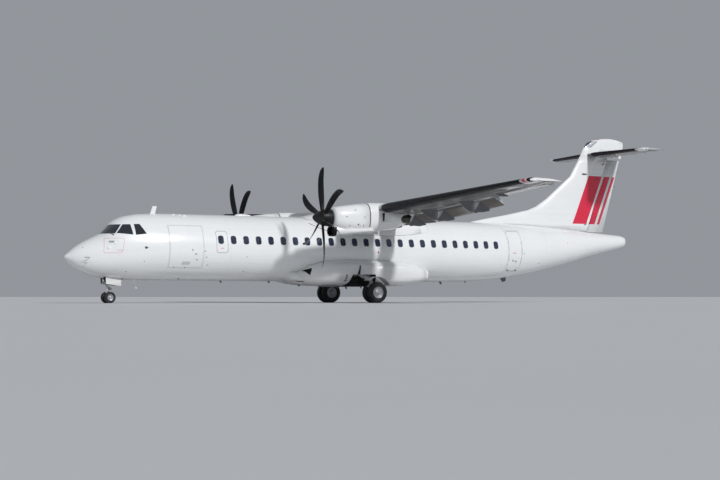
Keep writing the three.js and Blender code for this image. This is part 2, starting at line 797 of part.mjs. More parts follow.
function addRudder() {
  const rings = [rudder.foot, 2950, rudder.head].map((height) => {
    const hinge = hingeStation(height);
    const share = (height - rudder.foot) / (rudder.head - rudder.foot);
    const trail = rudder.footTrail + share * (rudder.headTrail - rudder.footTrail);
    const half = rudderHalf(height);
    const nose = [-0.5, -0.3, -0.1, 0.1, 0.3, 0.5].map((turn) => new THREE.Vector3(
      hinge - half * Math.cos(turn * Math.PI), half * Math.sin(turn * Math.PI), height,
    ));
    return [...nose, new THREE.Vector3(trail, 8, height), new THREE.Vector3(trail, -8, height)];
  });
  add('rudder', loft(rings), 'white');
}

// The nose section's cuts and aerials
function finishedNose(piece) {
  const core = hullSolid(700, 4200, paneDepth + 1);
  let rest = piece;
  for (const pane of panes) {
    for (const hand of [port, starboard]) rest = rest.subtract(paneCutter(pane, hand, 0.5).subtract(core));
  }
  const { front, rear, halfWidth, ceiling } = noseBay;
  rest = rest.subtract(box(front, rear, -halfWidth, halfWidth, -1400, ceiling));
  return aerials.reduce((all, outline) => (
    all.add(slab(outline, -aerialHalfThickness, aerialHalfThickness))
  ), rest);
}

// Fuselage pieces with recesses for doors and panes, and the nose gear bay
function addFuselage(wingCentre) {
  for (const { name, from, to } of hullPieces) {
    const start = from + (from > 0 ? seam / 2 : 0);
    const end = to - (to < lengthOverall ? seam / 2 : 0);
    let piece = hullSolid(start, end);
    if (name === 'nose_section') piece = finishedNose(piece);
    for (const [doorName, door] of Object.entries(doors)) {
      const gap = openingDoors.includes(doorName) ? movingGap : seam;
      if (door.front > from && door.front < to) piece = piece.subtract(doorRecess(door, gap));
    }
    if (name === 'cabin_centre') piece = piece.subtract(wingCentre.translate([0, 0, -seam]));
    add(name, piece, 'white');
  }
}

function addDoors() {
  for (const [name, door] of Object.entries(doors)) {
    const panel = doorPanel(door);
    add(name, name === 'passenger_door' ? panel.add(stairs(door)) : panel, 'white');
  }
}

function addPanes() {
  const shell = hullSolid(900, 4000).subtract(hullSolid(700, 4200, paneDepth));
  for (const pane of panes) {
    for (const hand of [port, starboard]) {
      add(`${pane.name}_${side(hand)}`, largestPiece(shell.intersect(paneCutter(pane, hand, 0))), 'glass');
    }
  }
}

// The fairing that carries the wing on the cabin roof
function archRing([station, halfWidth, top, foot]) {
  const ring = [];
  for (let k = 0; k <= archSteps; k += 1) {
    const angle = (Math.PI * k) / archSteps;
    const across = Math.sign(Math.cos(angle)) * Math.abs(Math.cos(angle)) ** 0.75;
    ring.push(new THREE.Vector3(station, halfWidth * across, foot + (top - foot) * Math.sin(angle) ** 0.75));
  }
  return ring;
}

function addSaddle(wingCentre) {
  const body = loft(saddle.map(archRing)).subtract(hullSolid(9000, 16400, -seam));
  add('wing_fairing', largestPiece(carved(body, wingCentre)), 'white');
}

// A rounded section across the aircraft: power below 1 fills its corners
function roundedRing([station, halfWidth, top, bottom], centre, power, sides) {
  const ring = [];
  const middle = (top + bottom) / 2;
  for (let k = 0; k < sides; k += 1) {
    const angle = (2 * Math.PI * (k + 0.5)) / sides;
    const [across, up] = [Math.cos(angle), Math.sin(angle)];
    ring.push(new THREE.Vector3(
      station,
      centre + halfWidth * Math.sign(across) * Math.abs(across) ** power,
      middle + ((top - bottom) / 2) * Math.sign(up) * Math.abs(up) ** power,
    ));
  }
  return ring;
}

// The cooling inlet's cut: its skin corners pushed out and drawn inboard
function inletCutter() {
  const shifted = (across) => inletCorners.map(([x, y, z]) => new THREE.Vector3(x, y + across, z));
  return loft([shifted(-inletDepth), shifted(300)]);
}

// Belly fairing, split lengthways, with a bay for each main gear
function addBelly() {
  const whole = loft(belly.map((row) => roundedRing(row, 0, 0.55, 32)))
    .subtract(hullSolid(9000, 16400, -seam));
  const keep = box(9000, 16000, -bellySplit + seam / 2, bellySplit - seam / 2, -2000, 0);
  add('belly_fairing', largestPiece(whole.intersect(keep)), 'white');
  const { front, rear, outer, floor, ceiling } = gearWell;
  const bay = slab(gearBay, gearBayInner, 2500)
    .add(box(front, rear, gearBayInner, outer, floor, ceiling))
    .add(slab(gearSlot, belly[3][1] - gearSlotDepth, 2500))
    .add(inletCutter());
  const half = box(9000, 16000, bellySplit + seam / 2, 2500, -2000, 0);
  const fairing = largestPiece(whole.intersect(half).subtract(bay));
  for (const hand of [port, starboard]) add(`gear_fairing_${side(hand)}`, mirrored(fairing, hand), 'white');
}

// A length of nacelle skin or of its inner wall, on the engine's centre line
function nacelleBody(table, from, to, inset, sides) {
  return loft(between(table, from, to).map((station) => {
    const [, halfWidth, top, bottom] = read(table, station);
    return roundedRing([station, halfWidth - inset, top - inset, bottom + inset], engineSpan, 0.8, sides);
  }));
}

function grooveCutter() {
  const { from, to, depth, foot } = cowlGroove;
  const ring = nacelleBody(nacelle, from, to, -40, nacelleSides)
    .subtract(nacelleBody(nacelle, from - 1, to + 1, depth, nacelleSides));
  return ring.intersect(box(from - 1, to + 1, engineSpan - 700, engineSpan + 700, foot, 2000));
}

// Nacelle: a cowl shell round the engine block, then the part that carries it to the wing
function addNacelles(wingCentre) {
  const bay = nacelleBody(nacelle, engineBay.front, engineBay.rear, engineBay.wall, 16);
  const { halfWidth, top, bottom, depth } = intakeMouth;
  const mouthRing = (station) => roundedRing([station, halfWidth, top, bottom], engineSpan, 1, 20);
  const mouth = loft([nacelle[0][0] - 200, depth].map(mouthRing));
  const end = cowlEnd - seam / 2;
  const cowl = nacelleBody(nacelle, nacelle[0][0], end, 0, nacelleSides)
    .add(nacelleBody(intakeDuct, intakeDuct[0][0], end, 0, 20))
    .subtract(bay)
    .subtract(mouth)
    .subtract(grooveCutter());
  const ventFloor = engineSpan + nacelle[5][1] - sideVentDepth;
  const pipe = ({ front, rear, frontShift, rearShift }, radius) => {
    const start = [front, engineSpan + frontShift, exhaust.height];
    return rod(start, [rear, engineSpan + rearShift, exhaust.height], radius, 20);
  };
  const solidRear = nacelleBody(nacelle, cowlEnd + seam / 2, nacelle.at(-1)[0], 0, nacelleSides)
    .subtract(bay)
    .subtract(slab(sideVent, ventFloor, engineSpan + 900));
  const joined = carved(solidRear.add(pipe(exhaust, exhaust.radius)), wingCentre);
  const shell = largestPiece(joined.subtract(pipe(exhaustBore, exhaust.bore)));
  const block = engineBlock;
  const [inner, outer] = [engineSpan - block.halfWidth, engineSpan + block.halfWidth];
  const engine = box(block.front, block.rear, inner, outer, block.bottom, block.top);
  for (const hand of [port, starboard]) {
    add(`cowl_${side(hand)}`, mirrored(cowl, hand), 'white');
    add(`nacelle_rear_${side(hand)}`, mirrored(shell, hand), 'white');
    add(`engine_${side(hand)}`, mirrored(engine, hand), 'steel');
  }
}

// Propellers turn clockwise seen from behind
function bladeRing([radius, chord, sweep, pitch, thickness]) {
  const angle = THREE.MathUtils.degToRad(pitch);
  const forward = new THREE.Vector3(-Math.sin(angle), Math.cos(angle), 0);
  const across = new THREE.Vector3(Math.cos(angle), Math.sin(angle), 0);
  const shape = [
    [0.5, 0], [0.3, 0.45], [0, 0.5], [-0.3, 0.3], [-0.5, 0.02], [-0.3, -0.3], [0, -0.5], [0.3, -0.45],
  ];
  return shape.map(([along, thick]) => new THREE.Vector3(0, -sweep, radius)
    .addScaledVector(forward, along * chord)
    .addScaledVector(across, thick * thickness * chord));
}

function addPropellers() {
  const single = loft(blade.map(bladeRing));
  for (const hand of [port, starboard]) {
    const y = engineSpan * hand;
    const spinner = turnedAlongX([...spinnerProfile, [345, 0]], spinnerTip, y, thrustLine, 24);
    add(`spinner_${side(hand)}`, spinner, 'dark');
    let whole = turnedAlongX([[350, 0], ...hubProfile, [780, 0]], spinnerTip, y, thrustLine, 24);
    for (let k = 0; k < bladeCount; k += 1) {
      const turned = single.rotate([(360 / bladeCount) * k + bladePhase[side(hand)], 0, 0]);
      whole = whole.add(turned.translate([bladePlane, y, thrustLine]));
    }
    add(`propeller_${side(hand)}`, whole, 'dark');
  }
}

// Twin wheels on one hub tube
function twinWheels(size, station, y, z, sides) {
  const half = size.width / 2;
  const end = size.offset + 20;
  let whole = turnedAlongY([[-end, 0], [-end, size.hub], [end, size.hub], [end, 0]], station, y, z, 16);
  for (const shift of [-size.offset, size.offset]) {
    const tyre = turnedAlongY([
      [-half * 0.5, 0], [-half * 0.5, size.rim], [-half * 0.85, size.rim + 15], [-half, size.radius * 0.78],
      [-half * 0.8, size.radius * 0.94], [-half * 0.4, size.radius], [half * 0.4, size.radius],
      [half * 0.8, size.radius * 0.94], [half, size.radius * 0.78], [half * 0.85, size.rim + 15],
      [half * 0.5, size.rim], [half * 0.5, 0],
    ], station, y + shift, z, sides);
    whole = whole.add(tyre);
  }
  return whole;
}

// The leg's door: a plate bent round the wheels' axle, open below
function legDoorPlate(grow) {
  const { radius, thickness, from, to, inner, outer } = legDoor;
  const angles = [from, to].map((station) => Math.acos((station - mainWheelStation) / radius));
  const arc = (r) => Array.from({ length: legDoorSteps + 1 }, (_, k) => {
    const angle = angles[0] + ((angles[1] - angles[0]) * k) / legDoorSteps;
    return [mainWheelStation + r * Math.cos(angle), mainAxleHeight + r * Math.sin(angle)];
  });
  const outline = [...arc(radius - grow), ...arc(radius + thickness + grow).reverse()];
  return slab(outline, inner - grow, outer + grow);
}

function addMainGear() {
  const [x, y, z] = [mainWheelStation, mainTrackHalf, mainAxleHeight];
  const { y: pivotY, height, radius } = legPivot;
  const elbow = [legElbow.station, y, z + legElbow.rise];
  const rearEnd = gearWell.rear - 1;
  const leg = rod([gearWell.front + 1, pivotY, height], [rearEnd, pivotY, height], radius)
    .add(rod([x - 380, pivotY, height], elbow, 82))
    .add(rod(elbow, [x, y, z], 62))
    .add(rod([x, y - 70, z], [x, y + 70, z], 105, 24))
    .add(rod([rearEnd - 90, pivotY, height], [x - 150, y - 20, z + 505], 45))
    .add(rod([elbow[0] + 60, y, elbow[2]], [elbow[0] + 110, y, z + legDoor.radius + 4], 34))
    .subtract(rod([x, y - 100, z], [x, y + 100, z], mainWheel.hub + axleGap, 24))
    .subtract(legDoorPlate(seam));
  for (const hand of [port, starboard]) {
    add(`main_wheels_${side(hand)}`, twinWheels(mainWheel, x, y * hand, z, 26), 'rubber');
    add(`main_gear_leg_${side(hand)}`, mirrored(largestPiece(leg), hand), 'steel');
    add(`main_gear_door_${side(hand)}`, mirrored(legDoorPlate(0), hand), 'white');
  }
}

function addNoseGear() {
  const [x, z] = [noseWheelStation, noseAxleHeight];
  const leg = rod([steeringStation, 0, steeringTop + 6], [steeringStation, 0, noseBay.ceiling - 1], 70, 20)
    .add(rod([steeringStation, 0, -1250], [noseBay.rear - 60, 0, -800], 38));
  add('nose_gear_leg', leg, 'steel');
  const link = [[steeringStation, steeringTop], [steeringStation + 190, -1560], [steeringStation, z + 150]];
  const fork = rod([steeringStation, 0, steeringTop], [steeringStation, 0, z + 60], 48, 20)
    .add(rod([steeringStation, 0, z + 90], [x, 0, z], 50))
    .add(rod([x, -85, z], [x, 85, z], 75, 24))
    .add(slab(link, -25, 25))
    .subtract(rod([x, -120, z], [x, 120, z], noseWheel.hub + axleGap, 24));
  add('nose_gear_fork', fork, 'steel');
  add('nose_wheels', twinWheels(noseWheel, x, 0, z, 24), 'rubber');
  const outerFace = noseBay.halfWidth - 1;
  const plate = slab(noseDoor, outerFace - noseDoorThickness, outerFace);
  for (const hand of [port, starboard]) add(`nose_gear_door_${side(hand)}`, mirrored(plate, hand), 'white');
}

function addTailBumper() {
  const shoe = slab([[20120, -1000], [20420, -950], [20400, -1170], [20270, -1210]], -45, 45);
  add('tail_bumper', largestPiece(shoe.subtract(hullSolid(19000, 21500, -seam))), 'grey');
}

const wingCentre = addWing();
const tailplaneBody = addTailplane();
addFuselage(wingCentre);
addDoors();
addPanes();
addSaddle(wingCentre);
addBelly();
addNacelles(wingCentre);
addPropellers();
addFin(hullSolid(17000, 26700, -seam), tailplaneBody);
addRudder();
addMainGear();
addNoseGear();
addTailBumper();

airliner.position.set(-lengthOverall / 2, 0, cabinAxisHeight);
airliner.updateMatrixWorld(true);

export default airliner;
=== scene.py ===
import math

import bpy
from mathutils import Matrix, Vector


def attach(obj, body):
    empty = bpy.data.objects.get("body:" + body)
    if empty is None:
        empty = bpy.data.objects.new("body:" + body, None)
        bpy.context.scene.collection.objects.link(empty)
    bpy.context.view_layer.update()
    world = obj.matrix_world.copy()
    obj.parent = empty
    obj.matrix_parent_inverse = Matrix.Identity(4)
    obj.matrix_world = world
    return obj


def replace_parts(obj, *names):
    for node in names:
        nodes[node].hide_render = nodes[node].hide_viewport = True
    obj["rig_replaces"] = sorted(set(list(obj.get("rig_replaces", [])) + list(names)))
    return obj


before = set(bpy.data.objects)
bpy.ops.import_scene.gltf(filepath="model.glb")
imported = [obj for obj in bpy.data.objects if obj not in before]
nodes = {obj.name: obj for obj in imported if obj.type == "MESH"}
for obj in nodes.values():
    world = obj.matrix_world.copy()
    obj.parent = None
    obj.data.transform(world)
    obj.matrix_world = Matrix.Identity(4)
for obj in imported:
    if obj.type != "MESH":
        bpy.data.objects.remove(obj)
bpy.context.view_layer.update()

# The plans give stations aft of the nose, y to starboard and heights from the cabin axis
plan = {"noseToMiddle": 13.583, "axisHeight": 2.13}


def at(station, across, height):
    return Vector((station - plan["noseToMiddle"], across, height + plan["axisHeight"]))


# Most fittings come in a left and a right one, left being to port at negative y
hands = (("left", -1), ("right", 1))


# Small tools for modelling

def deselectAll():
    if bpy.context.object and bpy.context.object.mode == "EDIT":
        bpy.ops.object.mode_set(mode="OBJECT")
    bpy.ops.object.select_all(action="DESELECT")


def pick(*pieces):
    deselectAll()
    for piece in pieces:
        piece.select_set(True)
    bpy.context.view_layer.objects.active = pieces[0]
    return pieces[0]


def startEdit(piece, mode="FACE"):
    pick(piece)
    bpy.ops.object.mode_set(mode="EDIT")
    bpy.ops.mesh.select_mode(type=mode)
    bpy.ops.mesh.select_all(action="SELECT")


def endEdit():
    bpy.ops.object.mode_set(mode="OBJECT")


def applyPlace(piece):
    pick(piece)
    bpy.ops.object.transform_apply(location=True, rotation=True, scale=True)


def applyModifier(piece, kind, **settings):
    pick(piece)
    modifier = piece.modifiers.new(kind.title(), kind)
    for key, value in settings.items():
        setattr(modifier, key, value)
    bpy.ops.object.modifier_apply(modifier=modifier.name)


def facesOut(piece):
    startEdit(piece)
    bpy.ops.mesh.normals_make_consistent(inside=False)
    endEdit()


def smooth(piece, degrees):
    pick(piece)
    bpy.ops.object.shade_smooth_by_angle(angle=math.radians(degrees), keep_sharp_edges=False)


def dress(piece, name, body, material, replaced=()):
    piece.name = name
    piece.data.name = name
    if material is not None:
        piece.data.materials.clear()
        piece.data.materials.append(material)
    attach(piece, body)
    if replaced:
        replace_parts(piece, *replaced)
    return piece


def joined(pieces):
    pick(*pieces)
    if len(pieces) > 1:
        bpy.ops.object.join()
    return bpy.context.object


# Joins pieces into one named fitting of a body
def fitting(pieces, name, look, body="airframe"):
    return dress(joined(pieces), name, body, look)


def copied(piece):
    pick(piece)
    bpy.ops.object.duplicate()
    return bpy.context.object


# A merged copy of a CAD node
def copyOfNode(node):
    deselectAll()
    piece = bpy.data.objects.new(node + "_copy", nodes[node].data.copy())
    bpy.context.scene.collection.objects.link(piece)
    piece.data.materials.clear()
    startEdit(piece, "VERT")
    bpy.ops.mesh.remove_doubles(threshold=0.00002)
    endEdit()
    return piece


# A line of points drawn by extruding one corner, closed into a face when filled
def drawLine(points, filled=False):
    start = Vector(points[0])
    deselectAll()
    bpy.ops.mesh.primitive_plane_add(size=0.01, location=start)
    piece = bpy.context.object
    startEdit(piece, "VERT")
    bpy.ops.mesh.merge(type="CENTER")
    for before, after in zip(points, points[1:]):
        step = Vector(after) - Vector(before)
        bpy.ops.mesh.extrude_region_move(TRANSFORM_OT_translate={"value": step})
    bpy.ops.mesh.select_all(action="SELECT")
    if filled:
        bpy.ops.mesh.edge_face_add()
    endEdit()
    applyPlace(piece)
    return piece


# A drawn profile turned about an axis
def turned(profile, centre, axis, steps, degrees):
    piece = drawLine(profile)
    startEdit(piece, "VERT")
    bpy.ops.mesh.spin(steps=steps, angle=math.tau, center=centre, axis=axis)
    bpy.ops.mesh.select_all(action="SELECT")
    bpy.ops.mesh.remove_doubles(threshold=0.0001)
    bpy.ops.mesh.normals_make_consistent(inside=False)
    endEdit()
    smooth(piece, degrees)
    return piece


# A round bar between two points, with softened ends
def bar(start, end, radius, sides, softened):
    along = end - start
    deselectAll()
    bpy.ops.mesh.primitive_cylinder_add(
        vertices=sides, radius=radius, depth=along.length, location=(start + end) / 2,
        rotation=along.to_track_quat("Z", "Y").to_euler())
    piece = bpy.context.object
    applyPlace(piece)
    applyModifier(piece, "BEVEL", width=radius * softened, segments=2, limit_method="ANGLE")
    smooth(piece, 40)
    return piece


# A hose or pipe along a smooth path
def hose(points, radius):
    deselectAll()
    bpy.ops.curve.primitive_nurbs_path_add(location=(0, 0, 0))
    piece = bpy.context.object
    spline = piece.data.splines[0]
    spline.points.add(max(0, len(points) - len(spline.points)))
    padded = points + [points[-1]] * (len(spline.points) - len(points))
    for index, place in enumerate(padded):
        spline.points[index].co = (*place, 1)
    spline.use_endpoint_u = True
    spline.order_u = 3
    piece.data.bevel_depth = radius
    piece.data.bevel_resolution = 4
    piece.data.resolution_u = 6
    piece.data.use_fill_caps = True
    pick(piece)
    bpy.ops.object.convert(target="MESH")
    return bpy.context.object


# Cuts a flat piece across at even steps, so that it can follow a curved skin
def cutInStrips(piece, points, strips):
    for direction, count in strips:
        direction = Vector(direction)
        places = [Vector(p).dot(direction) for p in points]
        low, high = min(places), max(places)
        for step in range(1, count):
            startEdit(piece)
            place = direction * (low + (high - low) * step / count)
            bpy.ops.mesh.bisect(plane_co=place, plane_no=direction)
            endEdit()
    return piece


def plate(points, *strips):
    return cutInStrips(drawLine(points, filled=True), points, strips)


# Lays a flat plate on a skin along y or z, turns its faces to the given side and thickens it outwards
def layOn(piece, target, outward, thickness, axis="Y"):
    applyModifier(
        piece, "SHRINKWRAP", target=target, wrap_method="PROJECT", wrap_mode="ON_SURFACE",
        use_project_x=False, use_project_y=axis == "Y", use_project_z=axis == "Z",
        use_positive_direction=True, use_negative_direction=True, project_limit=0)
    facesOut(piece)
    normal = sum((p.normal * p.area for p in piece.data.polygons), Vector())
    if normal.dot(Vector(outward)) < 0:
        startEdit(piece)
        bpy.ops.mesh.flip_normals()
        endEdit()
    applyModifier(piece, "SOLIDIFY", thickness=thickness, offset=1, use_even_offset=True)
    return piece


# Gives the faces that pass a test, by station, y, height and normal, another finish
def paintFaces(piece, material, test):
    piece.data.materials.append(material)
    last = len(piece.data.materials) - 1
    for polygon in piece.data.polygons:
        c = polygon.center
        if test(c.x + plan["noseToMiddle"], c.y, c.z - plan["axisHeight"], polygon.normal):
            polygon.material_index = last


# Part of a finished piece's own skin, cut off by planes and lifted a little
def skinCopy(source, cuts, lift, thickness):
    piece = copied(source)
    piece.parent = None
    del piece["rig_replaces"]
    for place, normal in cuts:
        startEdit(piece)
        bpy.ops.mesh.bisect(plane_co=place, plane_no=normal, clear_outer=True)
        endEdit()
    startEdit(piece)
    bpy.ops.transform.shrink_fatten(value=lift)
    endEdit()
    applyModifier(piece, "SOLIDIFY", thickness=thickness, offset=1)
    smooth(piece, 75)
    return piece


# Materials

def newMaterial(name, colour, roughness, metallic=0.0, coat=0.0):
    material = bpy.data.materials.new(name)
    material.use_nodes = True
    tree = material.node_tree
    shader = tree.nodes["Principled BSDF"]
    shader.inputs["Base Color"].default_value = (*colour, 1)
    shader.inputs["Roughness"].default_value = roughness
    shader.inputs["Metallic"].default_value = metallic
    shader.inputs["Coat Weight"].default_value = coat
    shader.inputs["Coat Roughness"].default_value = 0.06
    place = tree.nodes.new("ShaderNodeTexCoord")
    place.name = "place"
    return material


def addNode(material, kind, **settings):
    node = material.node_tree.nodes.new(kind)
    for key, value in settings.items():
        setattr(node, key, value)
    return node


def link(material, source, output, target, entry):
    material.node_tree.links.new(source.outputs[output], target.inputs[entry])


def placeOf(material):
    return material.node_tree.nodes["place"]


def shaderOf(material):
    return material.node_tree.nodes["Principled BSDF"]


def noise(material, scale, detail, stretch=(1, 1, 1)):
    mapping = addNode(material, "ShaderNodeMapping")
    mapping.inputs["Scale"].default_value = stretch
    link(material, placeOf(material), "Object", mapping, "Vector")
    texture = addNode(material, "ShaderNodeTexNoise")
    texture.inputs["Scale"].default_value = scale
    texture.inputs["Detail"].default_value = detail
    link(material, mapping, "Vector", texture, "Vector")
    return texture


def spread(material, source, output, low, high, fromLow=0.3, fromHigh=0.7):
    node = addNode(material, "ShaderNodeMapRange")
    node.inputs["From Min"].default_value = fromLow
    node.inputs["From Max"].default_value = fromHigh
    node.inputs["To Min"].default_value = low
    node.inputs["To Max"].default_value = high
    link(material, source, output, node, "Value")
    return node


# Gives a node's entry a plain number, a plain colour, or another node's output as a pair of node and output
def feed(material, node, entry, value):
    if isinstance(value, (int, float)):
        node.inputs[entry].default_value = value
    elif isinstance(value[0], (int, float)):
        node.inputs[entry].default_value = (*value, 1)
    else:
        link(material, value[0], value[1], node, entry)


def maths(material, operation, first, second):
    node = addNode(material, "ShaderNodeMath", operation=operation)
    feed(material, node, 0, first)
    feed(material, node, 1, second)
    return node


# A mix of two colours: its colour entries are 6 and 7, and its result is output 2
def mixed(material, share, first, second):
    node = addNode(material, "ShaderNodeMix", data_type="RGBA")
    feed(material, node, 0, share)
    feed(material, node, 6, first)
    feed(material, node, 7, second)
    return node


def bumped(material, source, output, strength, distance):
    node = addNode(material, "ShaderNodeBump")
    node.inputs["Strength"].default_value = strength
    node.inputs["Distance"].default_value = distance
    link(material, source, output, node, "Height")
    shader = shaderOf(material)
    if shader.inputs["Normal"].is_linked:
        before = shader.inputs["Normal"].links[0].from_node
        link(material, before, "Normal", node, "Normal")
    link(material, node, "Normal", shader, "Normal")


# Thin seams at an even pitch along a coordinate: 1 on the seam
def seams(material, coordinate, pitch, width, offset):
    shifted = maths(material, "ADD", coordinate, -offset)
    near = maths(material, "PINGPONG", (shifted, 0), pitch / 2)
    return maths(material, "LESS_THAN", (near, 0), width / 2)


def coordinates(material):
    node = addNode(material, "ShaderNodeSeparateXYZ")
    link(material, placeOf(material), "Object", node, "Vector")
    return node


# The angle round the cabin's axis
def girth(material, parts):
    lifted = maths(material, "ADD", (parts, "Z"), -plan["axisHeight"])
    return maths(material, "ARCTAN2", (parts, "Y"), (lifted, 0))


paintLooks = {
    "white": (0.88, 0.89, 0.895),
    "coat": 0.6,
    "roughness": 0.24,
    "cloudScale": 0.7,
    "shade": 0.93,
    "streakScale": 1.6,
    "streakStretch": (0.25, 2.2, 2.2),
    "grimeAndShade": (0.37, 0.335, 0.295),
    "grimeAndShadeShare": 0.66,
    "seam": (0.48, 0.49, 0.50),
    "seamShare": 0.45,
    "seamWidth": 0.007,
    "ringPitch": 2.6,
    "lapPitch": 0.52,
}


# Gloss paint on panels, with seams, soiling and painted shade below, and an uneven polish
def paintedPanels(name, colour, seamLines=(), grimeAndShadeHeight=None, roughness=None, extra=None, seamsBehind=None):
    material = newMaterial(name, colour, 0.3, coat=paintLooks["coat"])
    shader = shaderOf(material)
    cloud = noise(material, paintLooks["cloudScale"], 5)
    shadeShare = spread(material, cloud, "Fac", 0.0, 0.5)
    shade = tuple(c * paintLooks["shade"] for c in colour)
    tone = mixed(material, (shadeShare, 0), colour, shade)
    parts = coordinates(material)
    streaks = noise(material, paintLooks["streakScale"], 6, paintLooks["streakStretch"])
    # Darker towards the bottom below the given heights: soiling and painted shade on the underside
    if grimeAndShadeHeight is not None:
        low, high = grimeAndShadeHeight
        below = addNode(material, "ShaderNodeMapRange")
        below.inputs["From Min"].default_value = high
        below.inputs["From Max"].default_value = low
        link(material, parts, "Z", below, "Value")
        patchy = spread(material, streaks, "Fac", 0.05, 0.9, 0.35, 0.8)
        share = maths(material, "MULTIPLY", (below, 0), (patchy, 0))
        eased = maths(material, "MULTIPLY", (share, 0), paintLooks["grimeAndShadeShare"])
        tone = mixed(material, (eased, 0), (tone, 2), paintLooks["grimeAndShade"])
    lines = None
    for kind, pitch, width, offset in seamLines:
        if kind == "girth":
            angle = girth(material, parts)
            mask = seams(material, (angle, 0), pitch, width, offset)
        else:
            mask = seams(material, (parts, kind), pitch, width, offset)
        lines = mask if lines is None else maths(material, "MAXIMUM", (lines, 0), (mask, 0))
    if lines is not None and seamsBehind is not None:
        behind = maths(material, "GREATER_THAN", (parts, "X"), seamsBehind)
        lines = maths(material, "MULTIPLY", (lines, 0), (behind, 0))
    if lines is not None:
        seamShare = maths(material, "MULTIPLY", (lines, 0), paintLooks["seamShare"])
        seamTone = tuple(min(dark, c * 0.6) for dark, c in zip(paintLooks["seam"], colour))
        tone = mixed(material, (seamShare, 0), (tone, 2), seamTone)
        groove = maths(material, "MULTIPLY", (lines, 0), -1.0)
        bumped(material, groove, 0, 0.35, 0.002)
    if extra is not None:
        tone = extra(material, parts, tone)
    link(material, tone, 2, shader, "Base Color")
    base = paintLooks["roughness"] if roughness is None else roughness
    gloss = spread(material, streaks, "Fac", base * 0.8, base * 1.5)
    link(material, gloss, 0, shader, "Roughness")
    fine = noise(material, 90, 2)
    bumped(material, fine, "Fac", 0.05, 0.0006)
    return material


# A general finish: two tones of one colour in patches, uneven gloss and a fine grain
def grained(name, colour, roughness, *, patchScale, contrast, metallic=0.0, grain=(160, 0.12, 0.0005),
            stretch=(1, 1, 1), coat=0.0, specular=0.5):
    material = newMaterial(name, colour, roughness, metallic, coat)
    shader = shaderOf(material)
    shader.inputs["Specular IOR Level"].default_value = specular
    patches = noise(material, patchScale, 6, stretch)
    share = spread(material, patches, "Fac", 0.0, 1.0)
    tone = mixed(material, (share, 0), tuple(c * (1 - contrast) for c in colour),
                 tuple(min(1.0, c * (1 + contrast)) for c in colour))
    link(material, tone, 2, shader, "Base Color")
    gloss = spread(material, patches, "Fac", roughness * 0.8, min(1.0, roughness * 1.25))
    link(material, gloss, 0, shader, "Roughness")
    scale, strength, distance = grain
    fine = noise(material, scale, 3)
    bumped(material, fine, "Fac", strength, distance)
    return material


seamPitch = paintLooks["ringPitch"]
seamWidth = paintLooks["seamWidth"]
# The hull, fairings, cowls and doors grow darker towards the bottom: soiling and painted shade
hullPaint = paintedPanels(
    "hullPaint", paintLooks["white"],
    seamLines=[("X", seamPitch, seamWidth, 0.6), ("girth", paintLooks["lapPitch"], 0.004, 0.1)],
    grimeAndShadeHeight=(0.82, 1.62), seamsBehind=-9.9)
fairingPaint = paintedPanels(
    "fairingPaint", paintLooks["white"],
    seamLines=[("X", 1.45, seamWidth, 0.2)], grimeAndShadeHeight=(0.62, 1.5))
cowlPaint = paintedPanels(
    "cowlPaint", paintLooks["white"], seamLines=[("X", 9.0, seamWidth, 1.2)], grimeAndShadeHeight=(2.6, 3.2))
wingPaint = paintedPanels(
    "wingPaint", (0.50, 0.515, 0.53), seamLines=[("Y", 0.94, seamWidth, 0.2)], roughness=0.34)
# Dark paints for faces that look down and for the sides of the hinge fairings: painted shade over the grey
# and white paint
wingUnderShadePaint = paintedPanels(
    "wingUnderShadePaint", (0.135, 0.128, 0.118), seamLines=[("Y", 0.94, seamWidth, 0.2)], roughness=0.40)
flapUnderShadePaint = paintedPanels(
    "flapUnderShadePaint", (0.150, 0.134, 0.116), seamLines=[("Y", 1.25, seamWidth, 0.3)], roughness=0.42)
keelShadePaint = paintedPanels(
    "keelShadePaint", (0.082, 0.086, 0.097), seamLines=[("X", 0.47, 0.005, 0.1)], roughness=0.38)
tipPaint = paintedPanels("tipPaint", paintLooks["white"], seamLines=[("Y", 0.6, seamWidth, 0.1)])
doorPaint = paintedPanels("doorPaint", paintLooks["white"], grimeAndShadeHeight=(0.85, 1.4))

finBands = {
    "slant": 0.42,
    "low": 3.62,
    "high": 5.86,
    "bands": [(8.96, 9.74), (9.88, 10.26), (10.40, 10.56)],
    "red": (0.72, 0.018, 0.06),
}


# Slanted red bands across the fin and rudder, cut off square to the cabin
def finStripes(material, parts, tone):
    lean = maths(material, "MULTIPLY", (parts, "Z"), -finBands["slant"])
    across = maths(material, "ADD", (parts, "X"), (lean, 0))
    total = None
    for low, high in finBands["bands"]:
        after = maths(material, "GREATER_THAN", (across, 0), low)
        before = maths(material, "LESS_THAN", (across, 0), high)
        band = maths(material, "MULTIPLY", (after, 0), (before, 0))
        total = band if total is None else maths(material, "MAXIMUM", (total, 0), (band, 0))
    above = maths(material, "GREATER_THAN", (parts, "Z"), finBands["low"])
    under = maths(material, "LESS_THAN", (parts, "Z"), finBands["high"])
    height = maths(material, "MULTIPLY", (above, 0), (under, 0))
    share = maths(material, "MULTIPLY", (total, 0), (height, 0))
    return mixed(material, (share, 0), (tone, 2), finBands["red"])


finPaint = paintedPanels(
    "finPaint", paintLooks["white"], seamLines=[("Z", 1.22, seamWidth, 0.35)], extra=finStripes)

